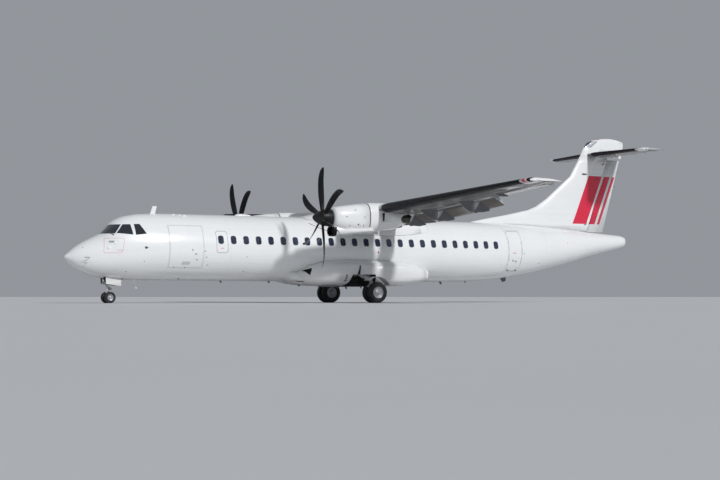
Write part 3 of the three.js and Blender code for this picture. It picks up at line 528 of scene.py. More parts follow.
glassLook = grained("cockpitGlass", (0.012, 0.016, 0.024), 0.06, patchScale=3, contrast=0.3,
                    grain=(20, 0.02, 0.0004), coat=1.0)
windowLook = grained("cabinWindow", (0.020, 0.030, 0.062), 0.10, patchScale=5, contrast=0.45,
                     grain=(40, 0.03, 0.0004), coat=1.0)
frameLook = grained("windowFrame", (0.62, 0.63, 0.65), 0.35, patchScale=8, contrast=0.1)
sealLook = grained("doorSeal", (0.10, 0.10, 0.11), 0.7, patchScale=12, contrast=0.25)
bootLook = grained("iceBoot", (0.007, 0.007, 0.009), 0.50, patchScale=5, contrast=0.4,
                   grain=(60, 0.06, 0.0006), stretch=(1, 4, 1), specular=0.20)
bladeLook = grained("bladeBlack", (0.009, 0.009, 0.011), 0.42, patchScale=5, contrast=0.35, specular=0.24)
spinnerLook = grained("spinnerBlack", (0.010, 0.010, 0.012), 0.24, patchScale=4, contrast=0.3, coat=0.15,
                      specular=0.35)
rubberLook = grained("tyreRubber", (0.022, 0.022, 0.023), 0.72, patchScale=14, contrast=0.4,
                     grain=(260, 0.5, 0.001))
rimLook = grained("wheelRim", (0.43, 0.44, 0.46), 0.38, metallic=0.35, patchScale=18, contrast=0.2)
steelLook = grained("gearSteel", (0.42, 0.43, 0.45), 0.36, metallic=0.8, patchScale=12, contrast=0.3)
legLook = grained("legEnamel", (0.55, 0.56, 0.57), 0.36, metallic=0.1, patchScale=10, contrast=0.22)
chromeLook = grained("oleoChrome", (0.80, 0.81, 0.83), 0.10, metallic=1.0, patchScale=20, contrast=0.08)
hoseLook = grained("hoseBlack", (0.02, 0.02, 0.022), 0.55, patchScale=30, contrast=0.4)
brakeLook = grained("brakeStack", (0.10, 0.095, 0.09), 0.55, metallic=0.6, patchScale=22, contrast=0.4)
bayLook = grained("bayShadow", (0.030, 0.031, 0.030), 0.7, patchScale=5, contrast=0.5)
liningLook = grained("doorLining", (0.30, 0.31, 0.32), 0.6, patchScale=6, contrast=0.2)
keelLook = grained("keelGrey", (0.10, 0.105, 0.115), 0.42, patchScale=5, contrast=0.25)
# Near-black for the insides of openings: painted shade
ductShadeLook = grained("intakeDuctShade", (0.010, 0.010, 0.011), 0.6, patchScale=9, contrast=0.4)
exhaustLook = grained("exhaustMetal", (0.085, 0.080, 0.075), 0.45, metallic=0.75, patchScale=7, contrast=0.45)
markLook = grained("greyMark", (0.35, 0.36, 0.38), 0.5, patchScale=30, contrast=0.2)
grooveLook = grained("grooveBrown", (0.11, 0.085, 0.065), 0.6, patchScale=14, contrast=0.35)
bayPipeLook = grained("bayPipe", (0.075, 0.076, 0.078), 0.5, metallic=0.3, patchScale=14, contrast=0.35)
revealLook = grained("doorReveal", (0.40, 0.41, 0.42), 0.5, patchScale=9, contrast=0.15)
paleRedLook = grained("paleRedLine", (0.74, 0.20, 0.23), 0.4, patchScale=30, contrast=0.12)
outlineLook = grained("outlineGrey", (0.30, 0.31, 0.33), 0.4, patchScale=20, contrast=0.15)
bladeEdgeLook = grained("bladeEdgeMetal", (0.045, 0.045, 0.050), 0.34, metallic=0.6, patchScale=12,
                        contrast=0.3)
orangeLook = grained("orangeMark", (0.85, 0.30, 0.03), 0.4, patchScale=30, contrast=0.15)
redLook = grained("redMark", (0.62, 0.03, 0.05), 0.4, patchScale=30, contrast=0.15)
lampLook = grained("lampGlass", (0.75, 0.78, 0.82), 0.08, metallic=0.3, patchScale=16, contrast=0.15,
                   coat=1.0)
redLamp = grained("redLamp", (0.60, 0.01, 0.015), 0.10, patchScale=16, contrast=0.2, coat=1.0)
greenLamp = grained("greenLamp", (0.01, 0.32, 0.10), 0.10, patchScale=16, contrast=0.2, coat=1.0)
print("materials made")

# Fuselage sections from nose to tail: station, half width, top, bottom, widest height, fullness of the crown
hullRows = [
    (0, 0.060, -0.300, -0.398, -0.350, 2.0), (0.030, 0.115, -0.262, -0.436, -0.353, 2.0),
    (0.100, 0.195, -0.205, -0.503, -0.356, 2.0), (0.360, 0.425, 0.018, -0.738, -0.358, 2.0),
    (0.700, 0.630, 0.240, -0.935, -0.345, 2.05), (1.100, 0.800, 0.440, -1.080, -0.310, 2.05),
    (1.350, 0.885, 0.560, -1.135, -0.280, 2.1), (1.600, 0.960, 0.790, -1.170, -0.250, 2.15),
    (1.900, 1.050, 1.090, -1.200, -0.210, 2.2), (2.300, 1.150, 1.275, -1.220, -0.160, 2.15),
    (2.800, 1.250, 1.375, -1.240, -0.100, 2.1), (3.500, 1.350, 1.425, -1.240, -0.050, 2.0),
    (4.300, 1.410, 1.4325, -1.240, 0, 2.0), (5.200, 1.4325, 1.4325, -1.240, 0, 2.0),
    (16.500, 1.4325, 1.4325, -1.240, 0, 2.0), (18.000, 1.375, 1.4325, -1.210, 0.020, 2.0),
    (19.000, 1.295, 1.430, -1.165, 0.050, 2.0), (20.000, 1.200, 1.415, -1.075, 0.100, 2.0),
    (21.000, 1.095, 1.390, -0.915, 0.170, 2.0), (22.000, 0.975, 1.345, -0.725, 0.250, 2.0),
    (23.000, 0.850, 1.285, -0.500, 0.340, 2.0), (24.000, 0.720, 1.205, -0.260, 0.440, 2.0),
    (25.000, 0.585, 1.110, 0, 0.540, 2.0), (26.000, 0.440, 1.045, 0.220, 0.620, 2.0),
    (26.800, 0.320, 0.990, 0.395, 0.680, 2.0), (27.050, 0.240, 0.940, 0.470, 0.700, 2.0),
    (27.166, 0.050, 0.780, 0.640, 0.710, 2.0),
]


def rowSlope(table, index, column):
    def rise(i):
        return (table[i + 1][column] - table[i][column]) / (table[i + 1][0] - table[i][0])
    if index == 0:
        return rise(0)
    if index == len(table) - 1:
        return rise(index - 1)
    before, after = rise(index - 1), rise(index)
    return 0 if before * after <= 0 else 2 * before * after / (before + after)


# The values of a table's row at any place, on smooth curves between its rows
def smoothRow(table, place):
    place = min(max(place, table[0][0]), table[-1][0] - 0.0001)
    after = next(i for i, row in enumerate(table) if row[0] > place)
    first, second = table[after - 1], table[after]
    step = second[0] - first[0]
    t = (place - first[0]) / step
    values = []
    for column in range(1, len(first)):
        leave, arrive = rowSlope(table, after - 1, column) * step, rowSlope(table, after, column) * step
        values.append((2 * t ** 3 - 3 * t ** 2 + 1) * first[column] + (t ** 3 - 2 * t ** 2 + t) * leave
                      + (3 * t ** 2 - 2 * t ** 3) * second[column] + (t ** 3 - t ** 2) * arrive)
    return values


# Positive outside the true round skin
def skinValue(place):
    halfWidth, top, bottom, waist, fullness = smoothRow(hullRows, place.x + plan["noseToMiddle"])
    up = place.z - plan["axisHeight"] - waist
    power = fullness if up > 0 else 2.0
    reach = top - waist if up > 0 else waist - bottom
    return abs(place.y / halfWidth) ** power + abs(up / reach) ** power - 1


def skinNormal(place):
    step = 0.004
    slopes = [skinValue(place + axis * step) - skinValue(place - axis * step)
              for axis in (Vector((1, 0, 0)), Vector((0, 1, 0)), Vector((0, 0, 1)))]
    return Vector(slopes).normalized()


def skinWidth(station, height):
    halfWidth, top, bottom, waist, fullness = smoothRow(hullRows, station)
    up = height - waist
    power = fullness if up > 0 else 2.0
    share = min(1.0, abs(up) / (top - waist if up > 0 else waist - bottom))
    return halfWidth * (1 - share ** power) ** (1 / power)


# The skin's own round shading on a panel, and flat shading on its cut faces
def shadeAsSkin(piece, tolerance):
    mesh = piece.data
    found = {}
    normals = []
    for polygon in mesh.polygons:
        polygon.use_smooth = True
        for index in polygon.loop_indices:
            corner = mesh.loops[index].vertex_index
            if corner not in found:
                found[corner] = skinNormal(mesh.vertices[corner].co)
            normal = found[corner]
            normals.append(normal if normal.dot(polygon.normal) > tolerance else polygon.normal.copy())
    mesh.normals_split_custom_set(normals)


print("fuselage")
hullNodes = [
    "radome", "nose_section", "cabin_front", "cabin_centre", "cabin_rear", "tail_section", "service_door",
    "emergency_exit_left", "emergency_exit_right", "cargo_door", "passenger_door",
]
movingDoors = ("cargo_door", "passenger_door")
hullPieces = {}
for node in hullNodes:
    piece = copyOfNode(node)
    shadeAsSkin(piece, 0.3 if node == "radome" else 0.90)
    look = doorPaint if node.endswith("door") else hullPaint
    body = node if node in movingDoors else "airframe"
    hullPieces[node] = dress(piece, node + "_skin", body, look, [node])

# How far inside the skin faces are deep or part of a reveal, and how far a reveal turns from the skin
depths = {"deep": -0.06, "reveal": -0.008, "turned": 0.7}


# Faces well inside the skin: recesses, door linings and the nose gear bay
def isDeep(station, across, height, normal):
    return skinValue(at(station, across, height)) < depths["deep"]


# Faces that turn in from the skin round an opening
def isReveal(station, across, height, normal):
    place = at(station, across, height)
    return skinValue(place) < depths["reveal"] and normal.dot(skinNormal(place)) < depths["turned"]


for node, piece in hullPieces.items():
    if node not in ("radome", "tail_section"):
        paintFaces(piece, revealLook, isReveal)
        paintFaces(piece, liningLook if node.endswith("door") else bayLook, isDeep)

print("cockpit glass")
for pane in ("windscreen", "side_window_front", "side_window_rear"):
    for hand, side in hands:
        node = f"{pane}_{hand}"
        piece = copyOfNode(node)
        shadeAsSkin(piece, 0.8)
        dress(piece, node + "_glass", "airframe", glassLook, [node])

# One skin to lay small pieces on
skinTarget = joined([copied(hullPieces[name]) for name in hullNodes])
skinTarget.parent = None
skinTarget.name = "skinTarget"

# How far out flat pieces start, across, before they are laid on a skin
layFrom = {"windows": 1.6, "skin": 1.7, "cowl": 0.9, "belly": 2.2}
windowPlan = {
    "first": 5.944, "pitch": 0.5476, "count": 25, "height": 0.379,
    "width": 0.235, "tall": 0.325, "corner": 0.085, "frame": 0.018,
}


# A rounded rectangle in station and height, at one side
def roundedOutline(station, height, width, tall, corner, across, steps=5, lean=0.0):
    points = []
    for turn, (sx, sz) in enumerate(((1, 1), (-1, 1), (-1, -1), (1, -1))):
        cx, cz = sx * (width / 2 - corner), sz * (tall / 2 - corner)
        for step in range(steps):
            angle = math.pi / 2 * (turn + step / (steps - 1))
            x, z = cx + corner * math.cos(angle), cz + corner * math.sin(angle)
            points.append(at(station + x + lean * z, across, height + z))
    return points


print("cabin windows")
height, width, tall, corner, rim = (windowPlan[key] for key in ("height", "width", "tall", "corner", "frame"))
for hand, side in hands:
    across = layFrom["windows"] * side
    frames, panes = [], []
    for index in range(windowPlan["count"]):
        station = windowPlan["first"] + index * windowPlan["pitch"]
        outer = roundedOutline(station, height, width + 2 * rim, tall + 2 * rim, corner + rim, across)
        frames.append(plate(outer, ((0, 0, 1), 7)))
        panes.append(plate(roundedOutline(station, height, width, tall, corner, across), ((0, 0, 1), 7)))
    allFrames = layOn(joined(frames), skinTarget, (0, side, 0), 0.003)
    fitting([allFrames], f"cabin_window_frames_{hand}", frameLook)
    allPanes = layOn(joined(panes), skinTarget, (0, side, 0), 0.006)
    fitting([allPanes], f"cabin_windows_{hand}", windowLook)

print("wings, nacelles, tail and gear")
# The other CAD nodes, merged and smoothed, in better finishes: name, body, look, slot, smoothing angle.
# A name with an underscore at its end is a left and a right node. No body means that a node has its own.
plainCopies = [
    ("wing_fairing", "airframe", fairingPaint, "white_paint", 35),
    ("belly_fairing", "airframe", fairingPaint, "white_paint", 35),
    ("gear_fairing_", "airframe", fairingPaint, "white_paint", 35),
    ("cowl_", "airframe", cowlPaint, "white_paint", 32),
    ("nacelle_rear_", "airframe", cowlPaint, "white_paint", 32),
    ("engine_", "airframe", steelLook, "gear_steel", 30),
    ("wing_centre", "airframe", wingPaint, "grey_paint", 62),
    ("wing_", "airframe", wingPaint, "grey_paint", 62),
    ("flap_inner_", None, wingPaint, "grey_paint", 42),
    ("flap_outer_", None, wingPaint, "grey_paint", 42),
    ("aileron_", None, wingPaint, "grey_paint", 40),
    ("tailplane", "airframe", wingPaint, "white_paint", 62),
    ("elevator_", None, wingPaint, "grey_paint", 40),
    ("fin", "airframe", finPaint, "white_paint", 30),
    ("rudder", None, finPaint, "white_paint", 40),
    ("main_gear_leg_", "airframe", legLook, "gear_steel", 40),
    ("main_gear_door_", "airframe", fairingPaint, "white_paint", 30),
    ("nose_gear_leg", "airframe", legLook, "gear_steel", 40),
    ("nose_gear_fork", "nose_steering", legLook, "gear_steel", 40),
    ("nose_gear_door_", "airframe", doorPaint, "white_paint", 30),
    ("tail_bumper", "airframe", keelLook, "grey_paint", 30),
]
dressed = {}
for start, body, look, slotName, degrees in plainCopies:
    for node in [start + "left", start + "right"] if start.endswith("_") else [start]:
        piece = copyOfNode(node)
        smooth(piece, degrees)
        dressed[node] = dress(piece, node + "_finish", body or node, look, [node])

# Cuts that round the fin cap's top, from and to a station and height
finTrims = [
    ((25.80, 5.488), (26.16, 5.520)), ((26.35, 5.520), (26.74, 5.470)), ((26.74, 5.470), (27.12, 5.375)),
]
for (station, height), (aftStation, aftHeight) in finTrims:
    startEdit(dressed["fin"])
    bpy.ops.mesh.bisect(
        plane_co=at(station, 0, height), plane_no=(height - aftHeight, 0, aftStation - station),
        clear_outer=True, use_fill=True)
    endEdit()
smooth(dressed["fin"], 30)

print("boots, tips and lamps")
# Leading edge lines: place across and station at both ends, and the chords there
edgeLines = {
    "wing": ((4.6, 11.330, 2.55), (12.8, 12.230, 1.50)),
    "tip": ((12.8, 12.230, 1.50), (13.525, 12.640, 1.06)),
    "tailplane": ((0, 24.950, 1.90), (3.45, 25.350, 1.18)),
}
# De-icing boots, tip edges and lamps: line, from and to across, share of the chord, lift and swelling
edgePlans = {
    "wing_boot": ("wing", 4.72, 12.90, 0.125, 0.0008, 0.004),
    "wing_tip_edge": ("tip", 12.91, 13.505, 0.26, 0.0006, 0.003),
    "wing_tip_lamp": ("tip", 13.02, 13.17, 0.075, 0.003, 0.006),
    "wing_tip_shade": ("tip", 13.24, 13.33, 0.060, 0.003, 0.004),
    "tailplane_boot": ("tailplane", 0.32, 3.10, 0.13, 0.0008, 0.004),
    "tailplane_tip_edge": ("tailplane", 3.11, 3.64, 0.30, 0.0006, 0.003),
}


# A strip along a leading edge, cut off by planes behind the edge and at the strip's ends
def edgeStrip(source, name, hand, side, look):
    line, inner, outer, share, lift, swelling = edgePlans[name]
    start, end = (at(lead + share * chord, side * place, 0) for place, lead, chord in edgeLines[line])
    aft = (end - start).normalized().cross(Vector((0, 0, 1)))
    strip = skinCopy(dressed[source], [
        (start, aft if aft.x > 0 else -aft), (Vector((0, side * inner, 0)), Vector((0, -side, 0))),
        (Vector((0, side * outer, 0)), Vector((0, side, 0)))], lift, swelling)
    fitting([strip], f"{name}_{hand}", look)


for hand, side in hands:
    wing, lamp = f"wing_{hand}", redLamp if side < 0 else greenLamp
    edgeStrip(wing, "wing_boot", hand, side, bootLook)
    edgeStrip(wing, "wing_tip_edge", hand, side, tipPaint)
    edgeStrip(wing, "wing_tip_lamp", hand, side, lamp)
    edgeStrip(wing, "wing_tip_shade", hand, side, bootLook)
    edgeStrip("tailplane", "tailplane_boot", hand, side, bootLook)
    edgeStrip("tailplane", "tailplane_tip_edge", hand, side, tipPaint)

print("wheels")
# Wheels: tyre, rim and hub, turned about the axle
wheelPlans = {
    "main": {"radius": 0.430, "width": 0.250, "rim": 0.235, "offset": 0.210, "axle": 0.058,
             "station": 12.540, "steps": 64},
    "nose": {"radius": 0.225, "width": 0.190, "rim": 0.115, "offset": 0.190, "axle": 0.038,
             "station": 1.770, "steps": 48},
}


def tyre(values, centre):
    radius, half, rim = values["radius"], values["width"] / 2, values["rim"]
    groove = 0.012 * radius / 0.43
    ring = [(-half * 0.78, rim - 0.012), (-half * 0.86, rim + 0.012),
            (-half * 0.985, rim + 0.3 * (radius - rim)), (-half, radius * 0.80),
            (-half * 0.95, radius * 0.885), (-half * 0.80, radius * 0.952), (-half * 0.62, radius * 0.985)]
    for mid in (-0.42, 0.0, 0.42):
        ring += [(half * (mid - 0.055), radius * 0.9995), (half * (mid - 0.045), radius * 0.9995 - groove),
                 (half * (mid + 0.045), radius * 0.9995 - groove), (half * (mid + 0.055), radius * 0.9995)]
    ring += [(-a, r) for a, r in reversed(ring[:7])]
    profile = [centre + Vector((0, a, r)) for a, r in ring]
    return turned(profile, centre, (0, 1, 0), values["steps"], 50)


def rimOf(values, centre, side):
    rim, half = values["rim"], values["width"] / 2
    face = [(0.80, rim - 0.014), (0.86, rim), (0.80, rim - 0.020), (0.52, rim - 0.034), (0.46, rim * 0.72),
            (0.40, rim * 0.60), (0.62, rim * 0.42), (0.66, rim * 0.30), (0.60, rim * 0.26),
            (0.72, rim * 0.12), (0.72, 0.0005)]
    back = [(-0.30, 0.07), (-0.30, rim * 0.86), (-0.70, rim - 0.030), (-0.80, rim - 0.014)]
    profile = [centre + Vector((0, side * a * half, r)) for a, r in back + face]
    piece = turned(profile, centre, (0, 1, 0), values["steps"], 40)
    studs = []
    for step in range(9):
        angle = math.tau * step / 9
        outwards = Vector((math.sin(angle), 0, math.cos(angle)))
        spot = centre + outwards * rim * 0.53 + Vector((0, side * half * 0.43, 0))
        studs.append(bar(spot, spot + Vector((0, side * 0.022, 0)), 0.011 * rim / 0.235, 6, 0.2))
    return joined([piece, *studs])


# Twin wheels on one hub, both at the same distance from a place across
def wheelSet(kind, node, across):
    values = wheelPlans[kind]
    middle = at(values["station"], across, 0)
    middle.z = values["radius"]
    tyres, rims = [], []
    for side in (-1, 1):
        centre = middle + Vector((0, side * values["offset"], 0))
        tyres.append(tyre(values, centre))
        rims.append(rimOf(values, centre, side))
    reach = Vector((0, values["offset"] - 0.02, 0))
    rims.append(bar(middle - reach, middle + reach, values["axle"], 24, 0.1))
    dress(joined(tyres), f"{node}_tyres", node, rubberLook, [node])
    dress(joined(rims), f"{node}_rims", node, rimLook)


wheelSet("main", "main_wheels_left", -2.050)
wheelSet("main", "main_wheels_right", 2.050)
wheelSet("nose", "nose_wheels", 0)
print("small fittings on the skin")


def skinPoint(station, height, side, proud=0.0):
    place = at(station, side * skinWidth(station, height), height)
    return place + skinNormal(place) * proud


# A round boss or opening set in the skin
def disc(station, height, side, radius, proud=0.003, sides=24):
    place = skinPoint(station, height, side)
    normal = skinNormal(place)
    return bar(place - normal * 0.02, place + normal * proud, radius, sides, 0.08)


# A thin frame on the skin: the rim of an outline
def skinRim(side, lean, station, height, width, tall, corner, line):
    outline = roundedOutline(station, height, width, tall, corner, layFrom["skin"] * side, lean=lean)
    rim = drawLine(outline, filled=True)
    startEdit(rim)
    bpy.ops.mesh.inset(thickness=line)
    bpy.ops.mesh.delete(type="FACE")
    endEdit()
    cutInStrips(rim, outline, [((0, 0, 1), 12), ((1, 0, 0), 8)])
    return layOn(rim, skinTarget, (0, side, 0), 0.003)


def skinPlate(station, height, width, tall, corner, side, thickness=0.003):
    outline = roundedOutline(station, height, width, tall, corner, layFrom["skin"] * side)
    return layOn(plate(outline, ((0, 0, 1), 4)), skinTarget, (0, side, 0), thickness)


# Outlines round the openings: station, height, width, tall, corner, line, then lean, sides, body and look
rimPlans = {
    "nose_panel_outline": (1.668, 0.095, 0.705, 0.580, 0.075, 0.010, 0.17, (-1, 1), "airframe", paleRedLook),
    "exit_outlines": (5.995, 0.295, 0.500, 0.880, 0.110, 0.018, 0.0, (-1, 1), "airframe", outlineLook),
    "cargo_door_outline": (4.505, 0.090, 1.370, 1.640, 0.060, 0.009, 0.0, (-1,), "cargo_door", frameLook),
    "passenger_door_outline": (20.180, 0.145, 0.735, 1.760, 0.090, 0.016, 0.0, (-1,), "passenger_door",
                               outlineLook),
    "service_door_outline": (20.135, 0.260, 0.650, 1.240, 0.080, 0.018, 0.0, (1,), "airframe", frameLook),
}
for name, (*outline, lean, sides, body, look) in rimPlans.items():
    fitting([skinRim(side, lean, *outline) for side in sides], name, look, body)

# Drains, static ports and small vents: station, height, radius. Those on the cargo door move with it.
darkSpots = [
    (2.809, -0.506, 0.018), (2.194, -0.893, 0.018), (4.041, -0.721, 0.020), (4.506, -0.731, 0.024),
    (7.072, -0.290, 0.018), (7.079, -0.868, 0.022), (20.691, 0.039, 0.018), (21.696, -0.390, 0.020),
    (19.742, 1.147, 0.018), (0.591, 0.022, 0.016),
]
cargoDoorSpan = (3.8, 5.2)
spots, doorSpots = [], []
for side in (-1, 1):
    for station, height, radius in darkSpots:
        onDoor = side < 0 and cargoDoorSpan[0] < station < cargoDoorSpan[1]
        (doorSpots if onDoor else spots).append(disc(station, height, side, radius))
fitting(spots, "skin_vents", sealLook)
fitting(doorSpots, "cargo_door_vents", sealLook, "cargo_door")
hoistRows = [(13.070, -0.020, 0.036), (23.290, 0.563, 0.020)]
hoists = [disc(station, height, side, radius) for station, height, radius in hoistRows for side in (-1, 1)]
fitting(hoists, "hoist_marks", redLook)

# Latches, plates and handles: body, look, slot, corner, thickness, sides, then station, height, width, tall
platePlans = {
    "skin_latches": ("airframe", markLook, "grey_paint", 0.012, 0.003, (-1, 1), [
        (5.263, -0.085, 0.07, 0.040), (5.328, -0.321, 0.08, 0.035), (5.429, -0.626, 0.08, 0.035)]),
    "cargo_door_latches": ("cargo_door", markLook, "grey_paint", 0.012, 0.003, (-1,), [
        (4.875, -0.203, 0.10, 0.050), (4.937, -0.423, 0.09, 0.040), (4.734, -0.038, 0.06, 0.060)]),
    "cargo_door_handle_plate": ("cargo_door", frameLook, "grey_paint", 0.03, 0.003, (-1,), [
        (4.505, -0.560, 0.34, 0.13)]),
    "passenger_door_latches": ("passenger_door", sealLook, "black_composite", 0.014, 0.003, (-1,), [
        (20.079, -0.287, 0.07, 0.06), (20.249, -0.315, 0.07, 0.06),
        (19.935, -0.700, 0.10, 0.045), (20.399, -0.690, 0.10, 0.045)]),
    "passenger_door_plates": ("passenger_door", doorPaint, "white_paint", 0.014, 0.006, (-1,), [
        (19.935, -0.535, 0.085, 0.12), (20.408, -0.513, 0.085, 0.12)]),
    "passenger_door_handle": ("passenger_door", redLook, "white_paint", 0.008, 0.006, (-1,), [
        (20.115, 0.052, 0.20, 0.022)]),
}
for name, (body, look, slotName, corner, thickness, sides, rows) in platePlans.items():
    plates = [skinPlate(*row, corner, side, thickness) for row in rows for side in sides]
    fitting(plates, name, look, body)

# Red marks on both exits and three beside the nose, and covers in the outlined panel beside the nose
markRows = [(5.986, 0.042, 0.15, 0.018, 0.006, -1), (5.986, 0.042, 0.15, 0.018, 0.006, 1)]
markRows += [(1.880 + shift, -0.085, 0.055, 0.014, 0.005, -1) for shift in (-0.075, 0, 0.075)]
fitting([skinPlate(*row) for row in markRows], "red_marks", redLook)
greyCover = skinPlate(1.600, 0.245, 0.20, 0.075, 0.035, -1, 0.006)
fitting([greyCover], "nose_cover_grey", markLook)
coverRows = [(1.705, 0.205, -1, 0.050, 0.008), (1.480, 0.025, -1, 0.075, 0.010)]
fitting([disc(*row) for row in coverRows], "nose_covers", doorPaint)

print("probes, wipers and aerials")
# The air data vane: place, boss, stem and blade. Probes: place, steps outwards and forward, radius.
vanePlan = {"place": (2.862, 0.030), "boss": 0.050, "stem": 0.013, "blade": 0.008, "length": 0.100}
probePlans = [
    (0.778, -0.365, (-0.01, 0.070, 0.100, 0.105), (0, 0, 0.03, 0.19), 0.011),
    (0.700, -0.560, (-0.01, 0.050, 0.070, 0.072), (0, 0, 0.02, 0.12), 0.008),
]
vanes = []
for side in (-1, 1):
    place = skinPoint(*vanePlan["place"], side)
    normal = skinNormal(place)
    vanes.append(disc(*vanePlan["place"], side, vanePlan["boss"], 0.008, 32))
    vanes.append(bar(place, place + normal * 0.075 + Vector((0.02, 0, 0)), vanePlan["stem"], 12, 0.3))
    vanes.append(bar(place + normal * 0.045 + Vector((0, 0, 0.004)),
                     place + normal * 0.050 + Vector((vanePlan["length"], 0, 0)), vanePlan["blade"], 12, 0.3))
    for station, height, outs, forwards, radius in probePlans:
        place = skinPoint(station, height, side)
        normal = skinNormal(place)
        path = [place + normal * out - Vector((forward, 0, 0)) for out, forward in zip(outs, forwards)]
        vanes.append(hose(path, radius))
fitting(vanes, "air_data_probes", keelLook)

wiperPlan = {"blade": ((1.480, 0.592), (1.600, 0.596), (1.730, 0.598)), "pivot": (1.700, 0.520)}
wipers = []
for side in (-1, 1):
    run = [skinPoint(station, height, side, 0.016) for station, height in wiperPlan["blade"]]
    wipers += [bar(start, end, 0.010, 10, 0.3) for start, end in zip(run, run[1:])]
    low, high = (skinPoint(*wiperPlan["pivot"], side, proud) for proud in (-0.01, 0.035))
    wipers.append(bar(low, high, 0.022, 16, 0.2))
    wipers.append(bar(high, run[1], 0.009, 10, 0.3))
fitting(wipers, "windscreen_wipers", sealLook)


# A drop-shaped dome, its rear half drawn out aft
def dropDome(place, length, width, height):
    deselectAll()
    bpy.ops.mesh.primitive_uv_sphere_add(segments=24, ring_count=12, radius=1, location=place,
                                         scale=(length * 0.35, width / 2, height))
    piece = bpy.context.object
    applyPlace(piece)
    startEdit(piece, "VERT")
    bpy.ops.mesh.select_all(action="DESELECT")
    endEdit()
    for vertex in piece.data.vertices:
        vertex.select = vertex.co.x > place.x + 0.0001
    bpy.ops.object.mode_set(mode="EDIT")
    bpy.ops.transform.resize(value=(1.86, 1, 1), center_override=place)
    endEdit()
    smooth(piece, 60)
    return piece


# Roof domes in pairs: station, across, length, height; and on the centre line: station, length, width, height
domePlan = {
    "pairs": [(4.310, -0.364, 0.13, 0.035), (4.549, -0.418, 0.11, 0.030), (4.703, -0.551, 0.16, 0.055)],
    "pairWidth": 0.07,
    "pairShift": 0.1,
    "roofRadius": 1.42,
    "middle": [(7.400, 0.75, 0.26, 0.085), (15.900, 0.60, 0.22, 0.075)],
    "middleFoot": 1.425,
}
domes = []
for station, across, length, tall in domePlan["pairs"]:
    roof = smoothRow(hullRows, station)[1] * math.sqrt(1 - (across / domePlan["roofRadius"]) ** 2)
    for aft, sideways in ((0, across), (domePlan["pairShift"], -across)):
        foot = at(station + aft, sideways, roof - 0.008)
        domes.append(dropDome(foot, length, domePlan["pairWidth"], tall))
for station, length, width, tall in domePlan["middle"]:
    domes.append(dropDome(at(station, 0, domePlan["middleFoot"]), length, width, tall))
fitting(domes, "roof_domes", hullPaint)


# A small flat aerial under the belly, given a thickness and soft edges
def smallAerial(station, foot, across, drop, length):
    outline = [(station, foot), (station + length, foot), (station + length * 1.15, foot - drop),
               (station + length * 0.6, foot - drop)]
    piece = drawLine([at(s, across, h) for s, h in outline], filled=True)
    applyModifier(piece, "SOLIDIFY", thickness=0.018, offset=0)
    applyModifier(piece, "BEVEL", width=0.0054, segments=2)
    facesOut(piece)
    smooth(piece, 40)
    return piece


# Belly aerials: station, height of the foot, across, drop, length
aerialRows = [
    (4.430, -1.135, -0.508, 0.06, 0.08), (6.460, -1.225, 0, 0.09, 0.10), (8.610, -1.225, 0, 0.09, 0.10),
    (9.980, -1.345, 0, 0.10, 0.12), (11.820, -1.455, 0, 0.05, 0.07), (12.240, -1.455, 0, 0.10, 0.09),
    (12.960, -1.455, 0, 0.07, 0.08), (16.900, -1.225, 0, 0.11, 0.14), (18.400, -1.180, 0.3, 0.07, 0.09),
]
fitting([smallAerial(*row) for row in aerialRows], "belly_aerials", keelLook)

print("nacelle details")
nacellePlan = {
    "engine": 4.050, "thrust": 1.210, "pipeHeight": 1.240,
    # The intake's mouth, its rubber lip and the groove round the cowl
    "mouthHalf": 0.240, "mouthTop": 0.870, "mouthBottom": 0.530, "mouthFrom": 9.445, "mouthEnd": 9.905,
    "lipTop": 0.846, "lipEnd": 9.575, "bead": (9.443, 0.700, 0.256, 0.020, 0.765),
    "grooveFrom": 10.913, "grooveTo": 10.957, "grooveAbove": 0.86,
    # The exhaust: from a station it runs aft and outwards
    "pipeRadius": 0.172, "pipeBore": 0.146, "pipeFrom": (12.050, 0.250), "pipeRun": (0.710, 0.150),
    "pipeEnd": (12.768, 0.4017),
    # The vent: from and to a station, low and high, with vanes in it
    "vent": (11.465, 11.595, 1.105, 1.435), "ventFloor": 4.566, "vanePitch": 0.062,
}
exhaustRing = [
    (-0.60, 0.140), (0.0, 0.147), (0.012, 0.150), (0.016, 0.160), (0.012, 0.173), (-0.02, 0.176),
    (-0.16, 0.180), (-0.70, 0.187), (-0.70, 0.150), (-0.60, 0.140),
]


def inMouth(station, across, height, normal):
    v = nacellePlan
    wide = (abs(across) - v["engine"]) / v["mouthHalf"]
    tall = (height - (v["mouthTop"] + v["mouthBottom"]) / 2) / ((v["mouthTop"] - v["mouthBottom"]) / 2)
    return v["mouthFrom"] < station < v["mouthEnd"] and wide ** 2 + tall ** 2 < 1.04


def inGroove(station, across, height, normal):
    v = nacellePlan
    return v["grooveFrom"] < station < v["grooveTo"] and height > v["grooveAbove"]


def pipeDistance(station, across, height):
    start, offset = nacellePlan["pipeFrom"]
    aft, outwards = nacellePlan["pipeRun"]
    middle = nacellePlan["engine"] + offset + (station - start) / aft * outwards
    return math.hypot(abs(across) - middle, height - nacellePlan["pipeHeight"])


def isPipe(station, across, height, normal):
    return station > 12.3 and pipeDistance(station, across, height) < nacellePlan["pipeRadius"] - 0.006


def isBore(station, across, height, normal):
    return station > 12.34 and pipeDistance(station, across, height) < nacellePlan["pipeBore"] + 0.003


def inVent(station, across, height, normal):
    front, rear, low, high = nacellePlan["vent"]
    return front < station < rear and low < height < high and abs(across) > nacellePlan["ventFloor"] - 0.006


